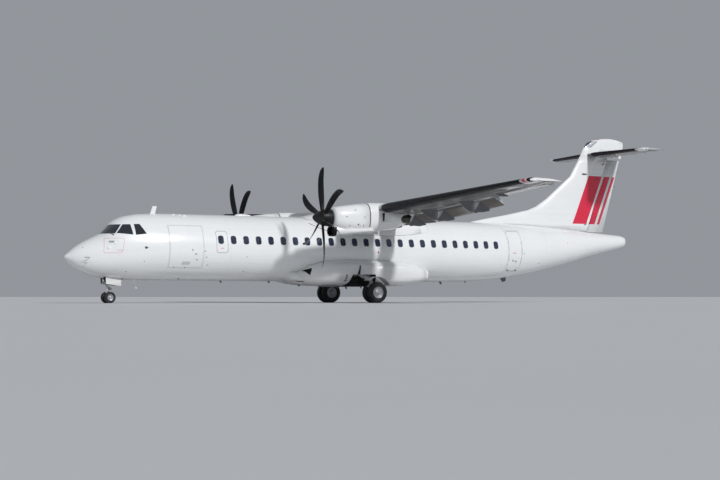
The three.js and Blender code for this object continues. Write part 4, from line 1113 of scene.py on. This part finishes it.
for hand, side in hands:
    cowl, rear = dressed[f"cowl_{hand}"], dressed[f"nacelle_rear_{hand}"]
    lip = skinCopy(cowl, [
        (at(nacellePlan["lipEnd"], 0, 0), Vector((1, 0, 0))),
        (at(0, 0, nacellePlan["lipTop"]), Vector((0, 0, 1)))], 0.002, 0.006)
    fitting([lip], f"intake_boot_{hand}", bootLook)
    station, height, radius, thick, flat = nacellePlan["bead"]
    middle = at(station, side * nacellePlan["engine"], height)
    ring = [middle + Vector((thick * math.cos(a), 0, radius + thick * math.sin(a)))
            for a in (math.tau * k / 12 for k in range(13))]
    bead = turned(ring, middle, (1, 0, 0), 64, 60)
    startEdit(bead)
    bpy.ops.transform.resize(value=(1, 1, flat), center_override=middle)
    endEdit()
    fitting([bead], f"intake_lip_{hand}", bootLook)
    # Near-black inside the intake's mouth and the vent is painted shade; in the exhaust's bore it is soot and
    # painted shade
    paintFaces(cowl, ductShadeLook, inMouth)
    paintFaces(cowl, grooveLook, inGroove)
    paintFaces(rear, exhaustLook, isPipe)
    paintFaces(rear, ductShadeLook, isBore)
    paintFaces(rear, ductShadeLook, inVent)
    ventVanes = []
    for k in range(5):
        z = nacellePlan["vent"][2] + 0.05 + k * nacellePlan["vanePitch"]
        y = side * (nacellePlan["ventFloor"] + 0.014)
        ventVanes.append(bar(at(11.500 if k < 2 else 11.480, y, z), at(11.575, y, z), 0.008, 10, 0.2))
    fitting(ventVanes, f"nacelle_vent_vanes_{hand}", keelLook)

    # A short pipe ring where the exhaust leaves the nacelle
    station, offset = nacellePlan["pipeEnd"]
    pipeEnd = at(station, side * (nacellePlan["engine"] + offset), nacellePlan["pipeHeight"])
    pipe = turned([pipeEnd + Vector((a, 0, r)) for a, r in exhaustRing], pipeEnd, (1, 0, 0), 48, 40)
    aft, outwards = nacellePlan["pipeRun"]
    startEdit(pipe)
    bpy.ops.transform.rotate(
        value=-math.atan2(side * outwards, aft), orient_axis="Z", center_override=pipeEnd)
    endEdit()
    fitting([pipe], f"exhaust_ring_{hand}", exhaustLook)

# Catches and drains on the cowls: look, slot, thickness, steps and share of a corner, then the plates
cowlMarks = {
    "cowl_dark_catches": (sealLook, "grey_paint", 0.004, 4, 0.4, [
        (9.916, 1.246, 0.10, 0.020), (10.683, 1.251, 0.09, 0.018), (10.300, 1.520, 0.09, 0.018)]),
    "cowl_light_catches": (markLook, "grey_paint", 0.004, 4, 0.4, [
        (10.063, 0.900, 0.035, 0.090), (10.654, 0.915, 0.035, 0.100), (10.500, 0.915, 0.025, 0.060)]),
    "cowl_drains": (ductShadeLook, "black_composite", 0.006, 7, 0.49, [(10.417, 0.955, 0.056, 0.056)]),
}
for hand, side in hands:
    for name, (look, slotName, thickness, steps, roundness, rows) in cowlMarks.items():
        plates = []
        for station, height, length, tall in rows:
            corner = min(length, tall) * roundness
            for flank in (-1, 1):
                across = side * nacellePlan["engine"] + flank * layFrom["cowl"]
                outline = roundedOutline(station, height, length, tall, corner, across, steps)
                flat = plate(outline, ((0, 0, 1), 2))
                plates.append(layOn(flat, dressed[f"cowl_{hand}"], (0, flank, 0), thickness))
        fitting(plates, f"{name}_{hand}", look)

print("propellers")
propellerPlan = {
    "tip": 8.650, "bladePlane": 9.090, "count": 6, "phase": {"left": -5, "right": -24},
    "spinner": [(0, 0.0005), (0.003, 0.018), (0.010, 0.034), (0.020, 0.052), (0.050, 0.093), (0.090, 0.130),
                (0.145, 0.173), (0.200, 0.208), (0.260, 0.240), (0.320, 0.266), (0.345, 0.276),
                (0.345, 0.0005)],
    "hub": [(0.351, 0.0005), (0.351, 0.277), (0.395, 0.292), (0.440, 0.305), (0.520, 0.321), (0.600, 0.332),
            (0.700, 0.338), (0.780, 0.340), (0.780, 0.0005)],
    # Blade rows: radius, chord, sweep against the turn, pitch from the disc in degrees, thickness ratio
    "rows": [(0.240, 0.150, 0, 62, 0.60), (0.420, 0.175, 0, 60, 0.32), (0.700, 0.220, -0.025, 54, 0.16),
             (1.050, 0.250, -0.045, 46, 0.105), (1.450, 0.245, -0.025, 39, 0.075),
             (1.700, 0.230, 0.045, 35.5, 0.06), (1.880, 0.165, 0.135, 33, 0.055),
             (1.965, 0.060, 0.215, 32, 0.055)],
    "radii": [0.24, 0.33, 0.42, 0.55, 0.70, 0.87, 1.05, 1.25, 1.45, 1.58, 1.70, 1.80, 1.88, 1.925, 1.955,
              1.965],
    "section": [(0.50, 0), (0.47, 0.20), (0.38, 0.38), (0.22, 0.48), (0.0, 0.50), (-0.22, 0.38),
                (-0.40, 0.18), (-0.50, 0.02), (-0.49, -0.03), (-0.40, -0.18), (-0.22, -0.38), (0.0, -0.50),
                (0.22, -0.48), (0.38, -0.38), (0.47, -0.20)],
    # The metal edge: faces ahead of this share of the chord, beyond this radius
    "edgeShare": 0.36, "edgeRadius": 0.62,
    "mark": (0.385, 0.270, 0.0225, 0.024),
}


# One blade standing up from the origin, skinned over its sections
def bladeShape():
    loops = []
    for radius in propellerPlan["radii"]:
        chord, sweep, pitch, thickness = smoothRow(propellerPlan["rows"], radius)
        angle = math.radians(pitch)
        forward = Vector((-math.sin(angle), math.cos(angle), 0))
        across = Vector((math.cos(angle), math.sin(angle), 0))
        if radius > 1.95:
            chord *= 0.8
        points = [Vector((0, -sweep, radius)) + forward * (a * chord) + across * (t * thickness * chord)
                  for a, t in propellerPlan["section"]]
        loop = drawLine(points, filled=True)
        startEdit(loop)
        bpy.ops.mesh.delete(type="ONLY_FACE")
        endEdit()
        loops.append(loop)
    piece = joined(loops)
    startEdit(piece, "EDGE")
    bpy.ops.mesh.bridge_edge_loops()
    bpy.ops.mesh.select_all(action="SELECT")
    bpy.ops.mesh.fill_holes(sides=0)
    bpy.ops.mesh.select_all(action="SELECT")
    bpy.ops.mesh.normals_make_consistent(inside=False)
    endEdit()
    applyModifier(piece, "SUBSURF", levels=1, render_levels=1)
    smooth(piece, 60)
    return piece


oneBlade = bladeShape()
oneBlade.data.materials.append(bladeLook)
oneBlade.data.materials.append(bladeEdgeLook)
for polygon in oneBlade.data.polygons:
    c = polygon.center
    chord, sweep, pitch, thickness = smoothRow(propellerPlan["rows"], c.z)
    angle = math.radians(pitch)
    share = (-math.sin(angle) * c.x + math.cos(angle) * (c.y + sweep)) / chord
    if share > propellerPlan["edgeShare"] and c.z > propellerPlan["edgeRadius"]:
        polygon.material_index = 1
print("blade faces", len(oneBlade.data.polygons))

for hand, side in hands:
    body = f"propeller_{hand}"
    across = side * nacellePlan["engine"]
    tip = at(propellerPlan["tip"], across, nacellePlan["thrust"])
    spinner = turned([tip + Vector((d, 0, r)) for d, r in propellerPlan["spinner"]], tip, (1, 0, 0), 72, 40)
    dress(spinner, f"spinner_{hand}_cone", body, spinnerLook, [f"spinner_{hand}"])
    hub = turned([tip + Vector((d, 0, r)) for d, r in propellerPlan["hub"]], tip, (1, 0, 0), 72, 40)
    hub.data.materials.clear()
    hub.data.materials.append(bladeLook)
    angles = [math.radians(propellerPlan["phase"][hand] + 60 * k) for k in range(propellerPlan["count"])]
    blades = []
    for angle in angles:
        one = copied(oneBlade)
        one.location = at(propellerPlan["bladePlane"], across, nacellePlan["thrust"])
        one.rotation_euler = (angle, 0, 0)
        applyPlace(one)
        blades.append(one)
    dress(joined([hub, *blades]), f"{body}_blades", body, None, [body])
    hubMarks = []
    aft, out, length, radius = propellerPlan["mark"]
    for angle in angles:
        outwards = Vector((0, -math.sin(angle), math.cos(angle)))
        spot = tip + Vector((aft, 0, 0)) + outwards * out
        hubMarks.append(bar(spot, spot + outwards * length, radius, 16, 0.2))
    fitting(hubMarks, f"hub_marks_{hand}", orangeLook, body)
bpy.data.objects.remove(oneBlade)

print("gear bays and gear details")
# Belly fairing from front to rear: station, half width, top, bottom
bellyRows = [
    (9.450, 1.250, -0.820, -1.255), (9.900, 1.560, -0.520, -1.360), (10.500, 1.760, -0.350, -1.430),
    (11.500, 1.870, -0.290, -1.470), (13.500, 1.870, -0.290, -1.470), (14.300, 1.830, -0.370, -1.440),
    (14.900, 1.740, -0.480, -1.350), (15.350, 1.560, -0.640, -1.250),
]


# Faces well inside the belly fairing's skin: the gear bay, its slot and the cooling inlet
def inBelly(station, across, height, normal):
    if not 9.560 < station < 15.000:
        return False
    after = next(i for i, row in enumerate(bellyRows) if row[0] > station)
    first, second = bellyRows[after - 1], bellyRows[after]
    share = (station - first[0]) / (second[0] - first[0])
    half, top, bottom = (first[k] + share * (second[k] - first[k]) for k in (1, 2, 3))
    rise = abs(height - (top + bottom) / 2) / ((top - bottom) / 2)
    return (abs(across) / half) ** 3.636 + rise ** 3.636 < 0.972


# Main gear on the starboard side: station, across, height
gearPlan = {
    "axle": (12.540, 2.050, -1.700), "elbow": (12.350, 2.050, -1.180), "pivot": (12.160, 1.240, -0.900),
    "strutTop": (12.590, 1.240, -0.900), "strutFoot": (12.390, 2.030, -1.195), "wheelOffset": 0.210,
    # Hoses: shift aft and radius
    "hoses": [(0.070, 0.011), (0.095, 0.009), (-0.085, 0.010)],
    # On the bay's walls: posts, rails and beams, each with radius, then a bent pipe
    "posts": ((11.72, 12.02, 12.32, 12.62), 0.835, (-0.985, -1.425), 0.016),
    "rails": ((-1.05, -1.13, -1.34), 0.860, (11.70, 12.66), 0.014),
    "beams": ((11.80, 12.10, 12.40), -0.685, (0.850, 1.760), 0.018),
    "bentPipe": [(11.70, 1.00, -0.70), (12.00, 1.10, -0.72), (12.05, 1.30, -0.76), (12.14, 1.24, -0.83)],
}


def placed(point, side):
    station, across, height = point
    return at(station, side * across, height)


# A brake stack round the axle, open in the middle
def brake(side, inward):
    station, across, height = gearPlan["axle"]
    centre = placed((station, across + inward * (gearPlan["wheelOffset"] - 0.125), height), side)
    ring = [(0.000, 0.080), (0.000, 0.150), (0.008, 0.162)]
    for k in range(4):
        start = 0.012 + k * 0.016
        ring += [(start, 0.170), (start + 0.010, 0.170), (start + 0.010, 0.158), (start + 0.015, 0.158)]
    ring += [(0.078, 0.080), (0.000, 0.080)]
    profile = [centre + Vector((0, inward * side * (a - 0.02), r)) for a, r in ring]
    return turned(profile, centre, (0, 1, 0), 48, 30)


aft, up = Vector((1, 0, 0)), Vector((0, 0, 1))
for hand, side in hands:
    paintFaces(dressed[f"gear_fairing_{hand}"], bayLook, inBelly)
    axle, elbow, pivot, strutTop, strutFoot = (
        placed(gearPlan[key], side) for key in ("axle", "elbow", "pivot", "strutTop", "strutFoot"))
    strut, arm, lower = strutFoot - strutTop, elbow - pivot, axle - elbow
    parts = [bar(strutTop + strut * 0.04, strutTop + strut * 0.50, 0.062, 28, 0.12),
             bar(strutTop + strut * 0.47, strutTop + strut * 0.53, 0.070, 28, 0.2)]
    parts += [bar(pivot + arm * f, pivot + arm * (f + 0.035), 0.091, 28, 0.15) for f in (0.18, 0.55, 0.82)]
    parts += [bar(elbow + lower * f, elbow + lower * (f + 0.06), 0.072, 28, 0.2) for f in (0.10, 0.45)]
    # Links between the arm and the axle beam, as a folded pair on each flank
    knee = elbow.lerp(axle, 0.48) + Vector((-0.200, 0, -0.020))
    for flank in (-0.035, 0.035):
        shift = Vector((0, flank, 0))
        parts.append(bar(elbow + lower * 0.14 + shift, knee + shift, 0.018, 14, 0.2))
        parts.append(bar(knee + shift, elbow + lower * 0.74 + shift, 0.018, 14, 0.2))
    parts.append(bar(knee - Vector((0, 0.055, 0)), knee + Vector((0, 0.055, 0)), 0.024, 18, 0.2))
    fitting(parts, f"main_gear_fittings_{hand}", legLook)
    chrome = bar(strutTop + strut * 0.52, strutTop + strut * 0.93, 0.047, 28, 0.05)
    fitting([chrome], f"main_gear_piston_{hand}", chromeLook)
    fitting([brake(side, -1), brake(side, 1)], f"main_gear_brakes_{hand}", brakeLook)
    hoses = []
    for k, (shift, radius) in enumerate(gearPlan["hoses"]):
        fan = Vector((0, k - 1, 0))
        path = [pivot + aft * shift + up * 0.03,
                pivot.lerp(elbow, 0.35) + aft * (shift * 1.3) + up * (-0.06 - 0.02 * k),
                pivot.lerp(elbow, 0.80) + aft * (shift * 1.5) + up * -0.10,
                elbow + aft * (shift * 1.4) + up * -0.12,
                elbow.lerp(axle, 0.55) + aft * (shift * 1.3) + fan * 0.03,
                axle + aft * shift + up * 0.115 + fan * 0.045]
        hoses.append(hose(path, radius))
    fitting(hoses, f"main_gear_hoses_{hand}", hoseLook)
    stations, across, (top, foot), radius = gearPlan["posts"]
    ends = [((s, across, top), (s, across, foot), radius) for s in stations]
    heights, across, (front, rear), radius = gearPlan["rails"]
    ends += [((front, across, h), (rear, across, h), radius) for h in heights]
    stations, height, (inner, outer), radius = gearPlan["beams"]
    ends += [((s, inner, height), (s, outer, height), radius) for s in stations]
    bay = [bar(placed(start, side), placed(end, side), radius, 14, 0.2) for start, end, radius in ends]
    bay.append(hose([placed(point, side) for point in gearPlan["bentPipe"]], 0.014))
    fitting(bay, f"main_gear_bay_pipes_{hand}", bayPipeLook)

print("nose gear details")
nosePlan = {
    "leg": 1.720,
    "door": [(1.565, -1.105), (2.165, -1.142), (2.160, -1.440), (1.580, -1.363)],
    "doorInner": 0.315,
    "doorHinges": (1.66, 1.86, 2.06),
    "ribs": (1.620, 0.100, 6),
    "collars": (-1.040, -1.200, -1.385),
    "jack": {"height": -1.330, "across": 0.125, "from": 1.560, "to": 1.760},
    "lamp": (1.500, -0.135, -1.235),
    "lampShell": [(0.052, 0.0005), (0.052, 0.020), (0.046, 0.044), (0.020, 0.060), (0.000, 0.064),
                  (-0.006, 0.060), (0.000, 0.054), (0.010, 0.052)],
    "lampGlass": [(-0.016, 0.0005), (-0.013, 0.025), (-0.004, 0.045), (0.006, 0.0525)],
    # Links of the steered leg: upper pin, knee and lower pin
    "links": ((1.765, -1.470), (1.905, -1.560), (1.775, -1.735)),
    "hose": [(1.650, 0.050, -0.900), (1.635, 0.055, -1.150), (1.640, 0.050, -1.300), (1.655, 0.035, -1.405)],
}


# A bar between two places given as station, across and height
def rod(start, end, radius, sides=14, softened=0.2):
    return bar(at(*start), at(*end), radius, sides, softened)


# Linings with ribs on the doors' inner faces; their dark grey is painted shade
for hand, side in hands:
    inner = side * nosePlan["doorInner"]
    lining = drawLine([at(s, inner, h) for s, h in nosePlan["door"]], filled=True)
    applyModifier(lining, "SOLIDIFY", thickness=0.006, offset=0)
    facesOut(lining)
    inner -= side * 0.008
    ribs = []
    first, pitch, count = nosePlan["ribs"]
    for k in range(count):
        s = first + k * pitch
        low = -1.363 - (s - 1.580) / 0.580 * 0.077 + 0.018
        ribs.append(rod((s, inner, -1.150), (s, inner, low), 0.011, 10, 0.3))
    for h in (-1.165, -1.340):
        ribs.append(rod((1.600, inner, h), (2.140, inner, h - 0.020), 0.009, 10, 0.3))
    whole = joined([lining, *ribs])
    smooth(whole, 40)
    fitting([whole], f"nose_gear_door_lining_{hand}", keelLook)
    hinges = [rod((s, side * 0.300, -1.060), (s, side * 0.322, -1.150), 0.014, 12)
              for s in nosePlan["doorHinges"]]
    fitting(hinges, f"nose_gear_door_hinges_{hand}", legLook)

leg, jack = nosePlan["leg"], nosePlan["jack"]
parts = [rod((leg, 0, h), (leg, 0, h - 0.035), 0.083, 32, 0.15) for h in nosePlan["collars"]]
for side in (-1, 1):
    height, across = jack["height"], side * jack["across"]
    parts.append(rod((jack["from"], across, height), (jack["to"], across, height), 0.036, 24, 0.15))
    parts.append(rod((jack["to"], across, height), (1.800, side * 0.090, height), 0.016, 16))
    parts.append(rod((leg, side * 0.060, height), (leg, side * 0.130, height), 0.022, 16))
parts.append(rod((1.520, -0.135, -1.235), (1.680, -0.060, -1.225), 0.014))
fitting(parts, "nose_gear_fittings", legLook)
lamp = at(*nosePlan["lamp"])
shell = turned([lamp + Vector((a, 0, r)) for a, r in nosePlan["lampShell"]], lamp, (1, 0, 0), 40, 40)
fitting([shell], "taxi_lamp_shell", legLook)
glass = turned([lamp + Vector((a, 0, r)) for a, r in nosePlan["lampGlass"]], lamp, (1, 0, 0), 40, 60)
fitting([glass], "taxi_lamp_glass", lampLook)
piston = rod((leg, 0, -1.445), (leg, 0, -1.700), 0.0495, 32, 0.05)
fitting([piston], "nose_gear_piston", chromeLook, "nose_steering")
(upperS, upperH), (kneeS, kneeH), (lowerS, lowerH) = nosePlan["links"]
parts = []
for flank in (-0.034, 0.034):
    parts.append(rod((upperS, flank, upperH), (kneeS, flank * 0.5, kneeH), 0.014))
    parts.append(rod((kneeS, flank * 0.5, kneeH), (lowerS, flank, lowerH), 0.014))
parts.append(rod((kneeS, -0.035, kneeH), (kneeS, 0.035, kneeH), 0.018, 18))
parts.append(rod((leg, 0, -1.452), (leg, 0, -1.482), 0.064, 32, 0.15))
parts.append(rod((leg, 0, -1.690), (leg, 0, -1.740), 0.060, 32, 0.15))
fitting(parts, "nose_gear_links", legLook, "nose_steering")
noseHoses = [hose([at(s, across * k, h) for s, across, h in nosePlan["hose"]], 0.009) for k in (-1, 1)]
fitting(noseHoses, "nose_gear_hoses", hoseLook)
bayRails = [rod((s, -0.330, -0.715), (s, 0.330, -0.715), 0.016) for s in (1.60, 1.86, 2.12)]
fitting(bayRails, "nose_bay_frames", markLook)

print("belly openings")
# An oval vent, slanted across the belly, and a slanted row of louvres on each flank
bellyVent = {"middle": (9.590, 1.040), "long": 0.230, "short": 0.058, "along": (0.26, 0.39), "under": -1.600}
louvrePlan = {"first": (11.355, -1.000), "step": (-0.012, -0.072), "count": 4, "size": (0.085, 0.050, 0.012)}
for hand, side in hands:
    fairing = dressed[f"gear_fairing_{hand}"]
    station, across = bellyVent["middle"]
    along = Vector(bellyVent["along"]).normalized()
    oval = []
    for k in range(28):
        a = bellyVent["long"] * math.cos(math.tau * k / 28)
        b = bellyVent["short"] * math.sin(math.tau * k / 28)
        oval.append(at(station + along.x * a - along.y * b, side * (across + along.y * a + along.x * b),
                       bellyVent["under"]))
    vent = layOn(plate(oval, ((0, 1, 0), 10)), fairing, (0, 0, -1), 0.004, "Z")
    fitting([vent], f"belly_vent_{hand}", grooveLook)
    louvres = []
    for k in range(louvrePlan["count"]):
        station, height = (start + step * k for start, step in zip(louvrePlan["first"], louvrePlan["step"]))
        outline = roundedOutline(station, height, *louvrePlan["size"], layFrom["belly"] * side, 4, lean=0.35)
        louvres.append(layOn(plate(outline, ((0, 0, 1), 3)), fairing, (0, side, 0), 0.004))
    fitting(louvres, f"belly_louvres_{hand}", keelLook)


# A rounded end: an outline carried along x in steps of a quarter turn, narrowed and lowered towards a centre
def roundedEnd(name, outline, length, centre, narrow, low):
    end = drawLine(outline, filled=True)
    turns = [math.pi / 2 * k / 8 for k in range(9)]
    startEdit(end)
    for before, after in zip(turns, turns[1:]):
        step = Vector((length * (math.sin(after) - math.sin(before)), 0, 0))
        bpy.ops.mesh.extrude_region_move(TRANSFORM_OT_translate={"value": step})
        across, upwards = ((least + (1 - least) * math.cos(after)) / (least + (1 - least) * math.cos(before))
                           for least in (narrow, low))
        bpy.ops.transform.resize(value=(1, across, upwards), center_override=centre)
    bpy.ops.mesh.select_all(action="DESELECT")
    bpy.ops.mesh.select_mode(type="EDGE")
    bpy.ops.mesh.select_non_manifold()
    bpy.ops.mesh.edge_face_add()
    endEdit()
    facesOut(end)
    smooth(end, 45)
    fitting([end], name, fairingPaint)


# The belly fairing's ends: row, length along x, height they close on, narrowing
fairingEnds = {
    "belly_fairing_nose": (bellyRows[0], -0.420, -0.860, 0.48),
    "belly_fairing_tail": (bellyRows[-1], 0.300, -0.820, 0.52),
}
for name, ((station, half, top, bottom), length, closeOn, narrow) in fairingEnds.items():
    ring = []
    for k in range(64):
        angle = math.tau * (k + 0.5) / 64
        across, upwards = (math.copysign(abs(v) ** 0.55, v) for v in (math.cos(angle), math.sin(angle)))
        ring.append(at(station - math.copysign(0.003, length), half * 0.998 * across,
                       (top + bottom) / 2 + (top - bottom) / 2 * 0.998 * upwards))
    roundedEnd(name, ring, length, at(station, 0, closeOn), narrow, 0.25)

# The wing fairing's rear end, drawn in to the cabin's skin
saddleEnd = {"station": 15.300, "half": 1.190, "top": 1.447, "foot": 0.815, "length": 0.480, "least": 0.885}
arch = []
for k in range(33):
    angle = math.pi * k / 32
    across = math.copysign(abs(math.cos(angle)) ** 0.75, math.cos(angle)) * saddleEnd["half"]
    rise = (saddleEnd["top"] - saddleEnd["foot"]) * math.sin(angle) ** 0.75
    arch.append(at(saddleEnd["station"] - 0.003, across * 0.999, (saddleEnd["foot"] + rise) * 0.999))
roundedEnd("wing_fairing_tail", arch, saddleEnd["length"], at(saddleEnd["station"], 0, 0),
           saddleEnd["least"], saddleEnd["least"])

print("fairing seal")
# Where the wing fairing meets the cabin: station, height
sealRows = [
    (10.100, 1.150), (10.350, 1.020), (10.600, 0.900), (11.060, 0.760), (11.800, 0.705), (13.900, 0.700),
    (14.600, 0.740), (15.290, 0.815), (15.420, 0.870), (15.560, 0.960), (15.680, 1.090), (15.730, 1.220),
]
for hand, side in hands:
    seal = hose([skinPoint(station, height, side, 0.002) for station, height in sealRows], 0.011)
    fitting([seal], f"wing_fairing_seal_{hand}", sealLook)

print("fin and rudder details")
finPlan = {
    # Hinge brackets: from and to a station and height
    "brackets": [(24.760, 1.460, 24.850, 1.620), (25.418, 3.545, 25.510, 3.700),
                 (25.790, 4.290, 25.890, 4.480)],
    "bracketAcross": 0.135,
    "pod": (24.730, 0.128, 3.800),
    "beacon": (25.640, 0, 5.440),
}
brackets, pods = [], []
for side in (-1, 1):
    y = side * finPlan["bracketAcross"]
    for station, height, after, top in finPlan["brackets"]:
        brackets.append(rod((station, y, height), (after, y, height), 0.012, 12))
        brackets.append(rod((after, y, height), (after + 0.045, y, top), 0.007, 12))
        brackets.append(rod((station - 0.020, y, height), (station + 0.045, y, height), 0.020, 12))
    station, across, height = finPlan["pod"]
    pods.append(dropDome(at(station, side * across, height), 0.340, 0.060, 0.040))
fitting(brackets, "rudder_hinge_brackets", sealLook)
fitting(pods, "fin_side_pods", keelLook)

# The rudder's trailing edge and hinge line at a height, and its half thickness, which falls to the edge's
rudderPlan = {
    "foot": 1.130, "tall": 3.390, "trail": 25.880, "sweep": 1.000, "half": 0.120, "taper": 0.035,
    "edge": 0.008, "hinge": 24.970, "hingeFoot": 1.050, "hingeTall": 3.490, "hingeSweep": 1.210,
    # Tab links: station, height, length
    "links": [(26.060, 2.837, 0.20), (26.330, 3.682, 0.20), (25.760, 1.768, 0.06), (25.560, 1.204, 0.06)],
    "wicks": (2.6, 3.3, 4.0),
}


def rudderHalf(station, height):
    v = rudderPlan
    share = (height - v["foot"]) / v["tall"]
    trail, half = v["trail"] + share * v["sweep"], v["half"] - share * v["taper"]
    hinge = v["hinge"] + (height - v["hingeFoot"]) / v["hingeTall"] * v["hingeSweep"]
    return half + (v["edge"] - half) * (station - hinge) / (trail - hinge)


tabLinks = []
for side in (-1, 1):
    for station, height, length in rudderPlan["links"]:
        front = rudderHalf(station, height)
        rear = max(rudderHalf(station + length, height), rudderPlan["edge"])
        after = station + length
        tabLinks.append(rod((station, side * front, height), (after, side * rear, height), 0.007, 12))
fitting(tabLinks, "rudder_tab_links", markLook, "rudder")

# The lamp window in the fin cap's leading edge: strips along the edge, from and to a distance behind it
capLamp = {
    "foot": (24.810, 5.040), "rise": (0.500, 0.360), "low": 5.065, "high": 5.372,
    "strips": [
        ("fin_cap_lamp_front", -0.20, 0.010, windowLook), ("fin_cap_lamp_lens", 0.010, 0.275, lampLook),
        ("fin_cap_lamp_rear", 0.275, 0.310, windowLook),
    ],
}
aftOfEdge = Vector((capLamp["rise"][1], 0, -capLamp["rise"][0])).normalized()
station, height = capLamp["foot"]
for name, fromEdge, toEdge, look in capLamp["strips"]:
    strip = skinCopy(dressed["fin"], [
        (at(0, 0, capLamp["low"]), -up), (at(0, 0, capLamp["high"]), up),
        (at(station + fromEdge, 0, height), -aftOfEdge), (at(station + toEdge, 0, height), aftOfEdge)],
        0.0006, 0.003)
    fitting([strip], name, look)
fitting([dropDome(at(*finPlan["beacon"]), 0.12, 0.070, 0.050)], "fin_beacon", redLamp)

print("static wicks")


def wick(station, across, height, length=0.14):
    start = at(station, across, height)
    return joined([bar(start - Vector((0.03, 0, 0)), start + Vector((0.02, 0, 0)), 0.009, 10, 0.2),
                   bar(start, start + Vector((length, 0, 0)), 0.0045, 8, 0.2)])


for hand, side in hands:
    wicks = [wick(13.800 - 0.005 * k, side * (10.4 + 0.75 * k), 2.005 + 0.030 * k, 0.16) for k in range(4)]
    fitting(wicks, f"aileron_wicks_{hand}", sealLook, f"aileron_{hand}")
    wicks = [wick(13.700, side * 13.300, 2.160, 0.16), wick(26.530, side * 3.560, 4.730)]
    fitting(wicks, f"tip_wicks_{hand}", sealLook)
    wicks = [wick(26.835 - 0.0275 * k, side * (1.2 + 0.75 * k), 4.730) for k in range(3)]
    fitting(wicks, f"elevator_wicks_{hand}", sealLook, f"elevator_{hand}")
wicks = [wick(rudderPlan["trail"] + (height - rudderPlan["foot"]) / rudderPlan["tall"], 0, height)
         for height in rudderPlan["wicks"]]
fitting(wicks, "rudder_wicks", sealLook, "rudder")

print("wing undersides, hinge fairings and tips")
# Where the flaps' and ailerons' hinge fairings are, across, and how far from there they reach
keelPlan = {"places": [1.700, 3.650, 5.850, 8.400, 10.450], "half": 0.138}


def isUnder(station, across, height, normal):
    return normal.z < -0.25


def isKeel(station, across, height, normal):
    near = any(abs(abs(across) - place) < keelPlan["half"] for place in keelPlan["places"])
    return near and abs(normal.y) > 0.22 and normal.z < 0.75


def isTip(station, across, height, normal):
    return abs(across) > 13.300 and abs(normal.y) > 0.30


# Faces that look down, and the sides of the hinge fairings, take the dark paints: painted shade
for name, piece in dressed.items():
    if name.startswith(("wing_centre", "wing_left", "wing_right", "tailplane", "elevator")):
        paintFaces(piece, wingUnderShadePaint, isUnder)
    elif name.startswith(("flap", "aileron")):
        paintFaces(piece, flapUnderShadePaint, isUnder)
    if name.startswith(("wing_centre", "wing_left", "wing_right", "flap")):
        paintFaces(piece, keelShadePaint, isKeel)
    if name in ("wing_left", "wing_right"):
        paintFaces(piece, tipPaint, isTip)

bpy.data.objects.remove(skinTarget)

# Floor, light and camera
studio = {
    "floorSize": 4000.0,
    "floorColour": (0.64, 0.65, 0.66),
    "worldColour": (0.78, 0.83, 0.90),
    "worldStrength": 0.37,
    "sunStrength": 2.1,
    "sunAngle": 5.0,
    "sunTravel": (-0.137, 1.0, -0.66),
    "cameraAzimuth": -28.7,
    "cameraDistance": 65.0,
    "cameraHeight": 0.25,
    "aim": (-0.48, 0.23, 2.68),
    "frameWidth": 30.82,
}

print("studio")
deselectAll()
bpy.ops.mesh.primitive_grid_add(
    x_subdivisions=8, y_subdivisions=8, size=studio["floorSize"], location=(0, 0, 0))
floor = bpy.context.object
floor.name = "floor"
floorLook = newMaterial("floorLook", studio["floorColour"], 0.6)
mottle = noise(floorLook, 0.4, 3)
floorTone = mixed(floorLook, (spread(floorLook, mottle, "Fac", 0, 1), 0), studio["floorColour"],
                  tuple(c * 0.985 for c in studio["floorColour"]))
link(floorLook, floorTone, 2, shaderOf(floorLook), "Base Color")
floor.data.materials.append(floorLook)

world = bpy.data.worlds.new("studioWorld")
bpy.context.scene.world = world
world.use_nodes = True
background = world.node_tree.nodes["Background"]
background.inputs["Color"].default_value = (*studio["worldColour"], 1)
background.inputs["Strength"].default_value = studio["worldStrength"]

bpy.ops.object.light_add(type="SUN", location=(0, -20, 20))
sun = bpy.context.object
sun.data.energy = studio["sunStrength"]
sun.data.angle = math.radians(studio["sunAngle"])
sun.rotation_euler = Vector(studio["sunTravel"]).to_track_quat("-Z", "Y").to_euler()

aim = Vector(studio["aim"])
azimuth = math.radians(studio["cameraAzimuth"])
reach = studio["cameraDistance"]
spot = aim + Vector((math.sin(azimuth) * reach, -math.cos(azimuth) * reach, 0))
spot.z = studio["cameraHeight"]
bpy.ops.object.camera_add(location=spot)
camera = bpy.context.object
camera.rotation_euler = (aim - spot).to_track_quat("-Z", "Y").to_euler()
camera.data.sensor_width = 36
camera.data.lens = 36 * (aim - spot).length / studio["frameWidth"]
camera.data.clip_end = 4000
bpy.context.scene.camera = camera
bpy.context.scene.view_settings.view_transform = "Standard"
